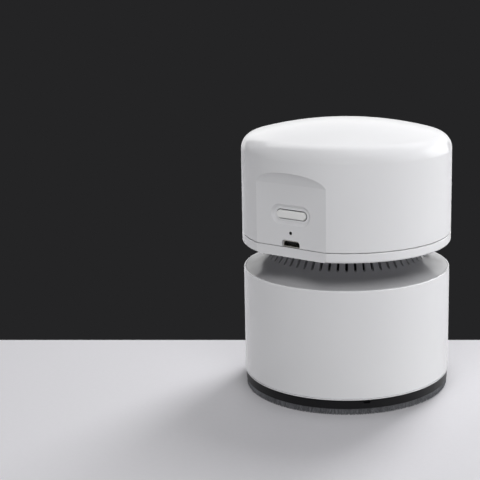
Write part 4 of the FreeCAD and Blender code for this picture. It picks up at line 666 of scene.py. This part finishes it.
def add_collar(name, level, opening, band, front, back):
    """Makes a band just inside an opening, from its front to its back, and puts it on the head."""
    steps = 96
    outer = pill_outline(opening[0], opening[1], steps)
    inner = pill_outline(opening[0] - 2 * band, opening[1] - 2 * band, steps)
    points = [(x, depth, level + z)
              for depth, outline in ((front, outer), (front, inner), (back, inner), (back, outer))
              for x, z in outline]
    faces = []
    for ring in range(4):
        for step in range(steps):
            following = (step + 1) % steps
            next_ring = (ring + 1) % 4
            faces.append((ring * steps + step, ring * steps + following,
                          next_ring * steps + following, next_ring * steps + step))
    collar_mesh = bpy.data.meshes.new(name)
    collar_mesh.from_pydata(points, [], faces)
    collar_mesh.materials.append(base_black)
    collar = bpy.data.objects.new(name, collar_mesh)
    scene.collection.objects.link(collar)
    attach(collar, "head")
    print(name, "is", round(opening[0] * 1000, 2), "mm wide outside")


# %% Put painted shade in the button's gap and line the light's hole
flange_margin = 0.0012
button_gap = 0.0003
button_inset = 0.0001
button_low, button_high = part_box("power_button")
button_opening = [button_high[axis] - button_low[axis] + 2 * (button_gap - flange_margin)
                  for axis in (0, 2)]
button_face = button_low[1]
# The button's collar is painted shade: a black band in the gap round the button, so the gap reads as a dark
# line.
add_collar("button_gap_painted_shade", (button_low[2] + button_high[2]) / 2, button_opening, band=0.00025,
           front=button_face + 0.00075, back=button_face + 0.0012)

pipe_low, pipe_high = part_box("light_pipe")
light_hole = 0.00122
panel_face = button_face - button_inset
add_collar("light_collar", (pipe_low[2] + pipe_high[2]) / 2, (light_hole, light_hole), band=0.00008,
           front=panel_face + 0.00003, back=pipe_low[1])

# %% [markdown]
# ## Desk and wall
#
# The machine stands on a pale desk in front of a dark wall. The desk is a large round sheet with a
# faint paint grain. The wall is seen only from its front, so it never hides the machine from a camera
# that goes round behind it, and it casts no shadow and adds no light. The desk throws no light back up either,
# because the low lamps are balanced on the machine's walls without it.

# %% Lay the desk
desk_paint, tree, shader, place = start_finish("pale satin desk paint", 0.6, 1.5)
shader.inputs["Specular IOR Level"].default_value = 0.2
paint_grain = add_node(tree, "ShaderNodeTexNoise", None,
                       {"Vector": place, "Scale": per_size(1.5), "Detail": 3.0})
tint(tree, paint_grain.outputs["Fac"], "D3D2D6", "D7D6DA", shader)
relief(tree, paint_grain.outputs["Fac"], 0.01, shader, 0.3)

desk_radius = 1.2
desk_sides = 96
desk_points = [(desk_radius * math.cos(step * math.tau / desk_sides),
                desk_radius * math.sin(step * math.tau / desk_sides), 0.0)
               for step in range(desk_sides)]
desk_mesh = bpy.data.meshes.new("desk")
desk_mesh.from_pydata(desk_points, [], [tuple(range(desk_sides))])
desk_mesh.materials.append(desk_paint)
desk = bpy.data.objects.new("desk", desk_mesh)
scene.collection.objects.link(desk)
desk.visible_diffuse = False
print("desk laid,", 2 * desk_radius, "m across")

# %% Stand the wall
wall_hex = "242425"
wall_dark = bpy.data.materials.new("dark wall paint")
wall_dark.use_nodes = True
tree = wall_dark.node_tree
tree.nodes.clear()
behind = add_node(tree, "ShaderNodeNewGeometry").outputs["Backfacing"]
front = add_node(tree, "ShaderNodeEmission", None, {"Color": linear(wall_hex), "Strength": 1.0})
clear = add_node(tree, "ShaderNodeBsdfTransparent")
seen = add_node(tree, "ShaderNodeMixShader", None,
                {0: behind, 1: front.outputs["Emission"], 2: clear.outputs["BSDF"]})
add_node(tree, "ShaderNodeOutputMaterial", None, {"Surface": seen.outputs["Shader"]})

wall_distance = 0.0453
away = Vector((-math.sin(camera_turn), math.cos(camera_turn), 0.0))
along = Vector((math.cos(camera_turn), math.sin(camera_turn), 0.0))
wall_points = [away * wall_distance + along * reach + Vector((0.0, 0.0, height))
               for reach, height in ((-1.0, 0.0), (1.0, 0.0), (1.0, 1.0), (-1.0, 1.0))]
wall_mesh = bpy.data.meshes.new("wall")
wall_mesh.from_pydata([tuple(point) for point in wall_points], [], [(0, 1, 2, 3)])
wall_mesh.materials.append(wall_dark)
wall = bpy.data.objects.new("wall", wall_mesh)
scene.collection.objects.link(wall)
for ray in ("visible_diffuse", "visible_glossy", "visible_transmission", "visible_shadow"):
    setattr(wall, ray, False)
print("wall stands", round(wall_distance * 1000, 1), "mm behind the machine's axis")

# %% [markdown]
# ## Studio light
#
# The machine is lit by a ring of softboxes. Four low ones give its upright walls a gradient from a dim left to
# a bright right edge, and a fifth does the same for the back. One high in front tops up the rim round the
# neck, and two high ones behind light the dome. The head shades the neck under it, so the low ones are
# flagged off the neck, as a photographer does with a black board.
# The desk has two lamps to itself, a narrow one high behind that draws the shadow and a wide one in front
# that fills it. Light linking does both: a collection names the objects that a lamp takes in or leaves out.

# %% A softbox, and what it may light
def softbox(name, azimuth, elevation, watts, width=0.5, height=0.5, distance=0.9):
    """Places an area lamp by its direction from the machine, and points it at the machine."""
    lamp = bpy.data.lights.new(name, "AREA")
    lamp.shape = "RECTANGLE"
    lamp.size = width
    lamp.size_y = height
    lamp.energy = watts
    box = bpy.data.objects.new(name, lamp)
    turn = math.radians(azimuth)
    rise = math.radians(elevation)
    aim = Vector((0.0, 0.0, 0.05))
    box.location = aim + distance * Vector((math.sin(turn) * math.cos(rise),
                                            -math.cos(turn) * math.cos(rise), math.sin(rise)))
    box.rotation_euler = (aim - box.location).to_track_quat("-Z", "Y").to_euler()
    box.visible_camera = False
    box.visible_glossy = False
    scene.collection.objects.link(box)
    return box


def tie_lamps(lamps, collection_name, listed, state):
    """Ties lamps to a collection of objects that they light (INCLUDE) or leave out (EXCLUDE)."""
    tied = bpy.data.collections.new(collection_name)
    for listed_object in listed:
        tied.objects.link(listed_object)
    for entry in tied.collection_objects:
        entry.light_linking.link_state = state
    for lamp_object in lamps:
        lamp_object.light_linking.receiver_collection = tied


# %% Hang the lamps
low_lamps = [softbox("left_softbox", -40.0, 5.0, watts=1.5, height=0.25),
             softbox("front_softbox", 30.0, 5.0, watts=2.7, height=0.25),
             softbox("right_softbox", 100.0, 5.0, watts=2.8, height=0.25),
             softbox("edge_softbox", 132.0, 12.0, watts=2.7),
             softbox("left_back_softbox", 250.0, 20.0, watts=3.7)]
high_lamps = [softbox("rim_softbox", 60.0, 65.0, watts=2.4),
              softbox("right_back_softbox", 150.0, 40.0, watts=1.6),
              softbox("top_back_softbox", 205.0, 60.0, watts=14.0, width=0.8, height=0.8, distance=2.0)]
desk_lamps = [softbox("shadow_softbox", 184.0, 52.0, watts=6.4, width=0.25, height=0.7),
              softbox("fill_softbox", 33.0, 36.0, watts=5.4, width=0.9, height=0.9, distance=0.8)]
tie_lamps(low_lamps, "flagged", [desk, nodes["neck_grille"]], "EXCLUDE")
tie_lamps(high_lamps, "all_but_desk", [desk], "EXCLUDE")
tie_lamps(desk_lamps, "desk_alone", [desk], "INCLUDE")
print(len(low_lamps) + len(high_lamps) + len(desk_lamps), "softboxes hung")

# %% [markdown]
# ## Cards for the reflections
#
# A glossy shell also shows what stands round it, and lamps alone would give it only small bright squares.
# So the lamps are hidden from reflections, and four large white cards are bent round the machine instead.
# The two high ones put the broad sheen on the dome, and the two upright ones the streak along the right edge
# and the sheen on the back. Nothing but a reflection sees them.

# %% Stand the cards
def reflection_card(name, azimuths, elevations, brightness, distance=0.8):
    """Bends a white card round the machine between two azimuths and two elevations."""
    card_white = bpy.data.materials.new(name + " paper")
    card_white.use_nodes = True
    card_tree = card_white.node_tree
    card_tree.nodes.clear()
    glow = add_node(card_tree, "ShaderNodeEmission", None,
                    {"Color": (1.0, 1.0, 1.0, 1.0), "Strength": brightness})
    add_node(card_tree, "ShaderNodeOutputMaterial", None, {"Surface": glow.outputs["Emission"]})
    steps = 12
    card_points = []
    for across in range(steps + 1):
        turn = math.radians(azimuths[0] + (azimuths[1] - azimuths[0]) * across / steps)
        for up in range(steps + 1):
            rise = math.radians(elevations[0] + (elevations[1] - elevations[0]) * up / steps)
            card_points.append((distance * math.sin(turn) * math.cos(rise),
                                -distance * math.cos(turn) * math.cos(rise), distance * math.sin(rise)))
    row = steps + 1
    card_faces = [(across * row + up, across * row + up + 1,
                   (across + 1) * row + up + 1, (across + 1) * row + up)
                  for across in range(steps) for up in range(steps)]
    card_mesh = bpy.data.meshes.new(name)
    card_mesh.from_pydata(card_points, [], card_faces)
    card_mesh.materials.append(card_white)
    card = bpy.data.objects.new(name, card_mesh)
    scene.collection.objects.link(card)
    for ray in ("visible_camera", "visible_diffuse", "visible_transmission", "visible_shadow"):
        setattr(card, ray, False)


reflection_card("right_card", (128.0, 172.0), (-35.0, 35.0), brightness=2.2)
reflection_card("back_card", (185.0, 250.0), (-35.0, 14.0), brightness=0.83)
reflection_card("dome_card", (172.0, 244.0), (14.0, 42.0), brightness=1.2)
reflection_card("roof_card", (150.0, 276.0), (42.0, 88.0), brightness=1.5)
print("four cards stood")

# %% [markdown]
# ## Sky
#
# The world round the scene is dim and even. It lifts the shadows a little, shows a shade brighter in
# reflections, and stands behind everything as the same dark grey as the wall.

# %% Set the sky
studio = bpy.data.worlds.new("studio")
studio.use_nodes = True
tree = studio.node_tree
tree.nodes.clear()
rays = add_node(tree, "ShaderNodeLightPath")
sky, mirror, backdrop = [
    add_node(tree, "ShaderNodeBackground", None, {"Color": colour, "Strength": 1.0}).outputs["Background"]
    for colour in ((0.076, 0.076, 0.078, 1.0), (0.1, 0.1, 0.102, 1.0), linear(wall_hex))]
reflected = add_node(tree, "ShaderNodeMixShader", None,
                     {0: rays.outputs["Is Glossy Ray"], 1: sky, 2: mirror})
seen = add_node(tree, "ShaderNodeMixShader", None,
                {0: rays.outputs["Is Camera Ray"], 1: reflected.outputs["Shader"], 2: backdrop})
add_node(tree, "ShaderNodeOutputWorld", None, {"Surface": seen.outputs["Shader"]})
scene.world = studio
scene.view_settings.view_transform = "Standard"
print("sky set")
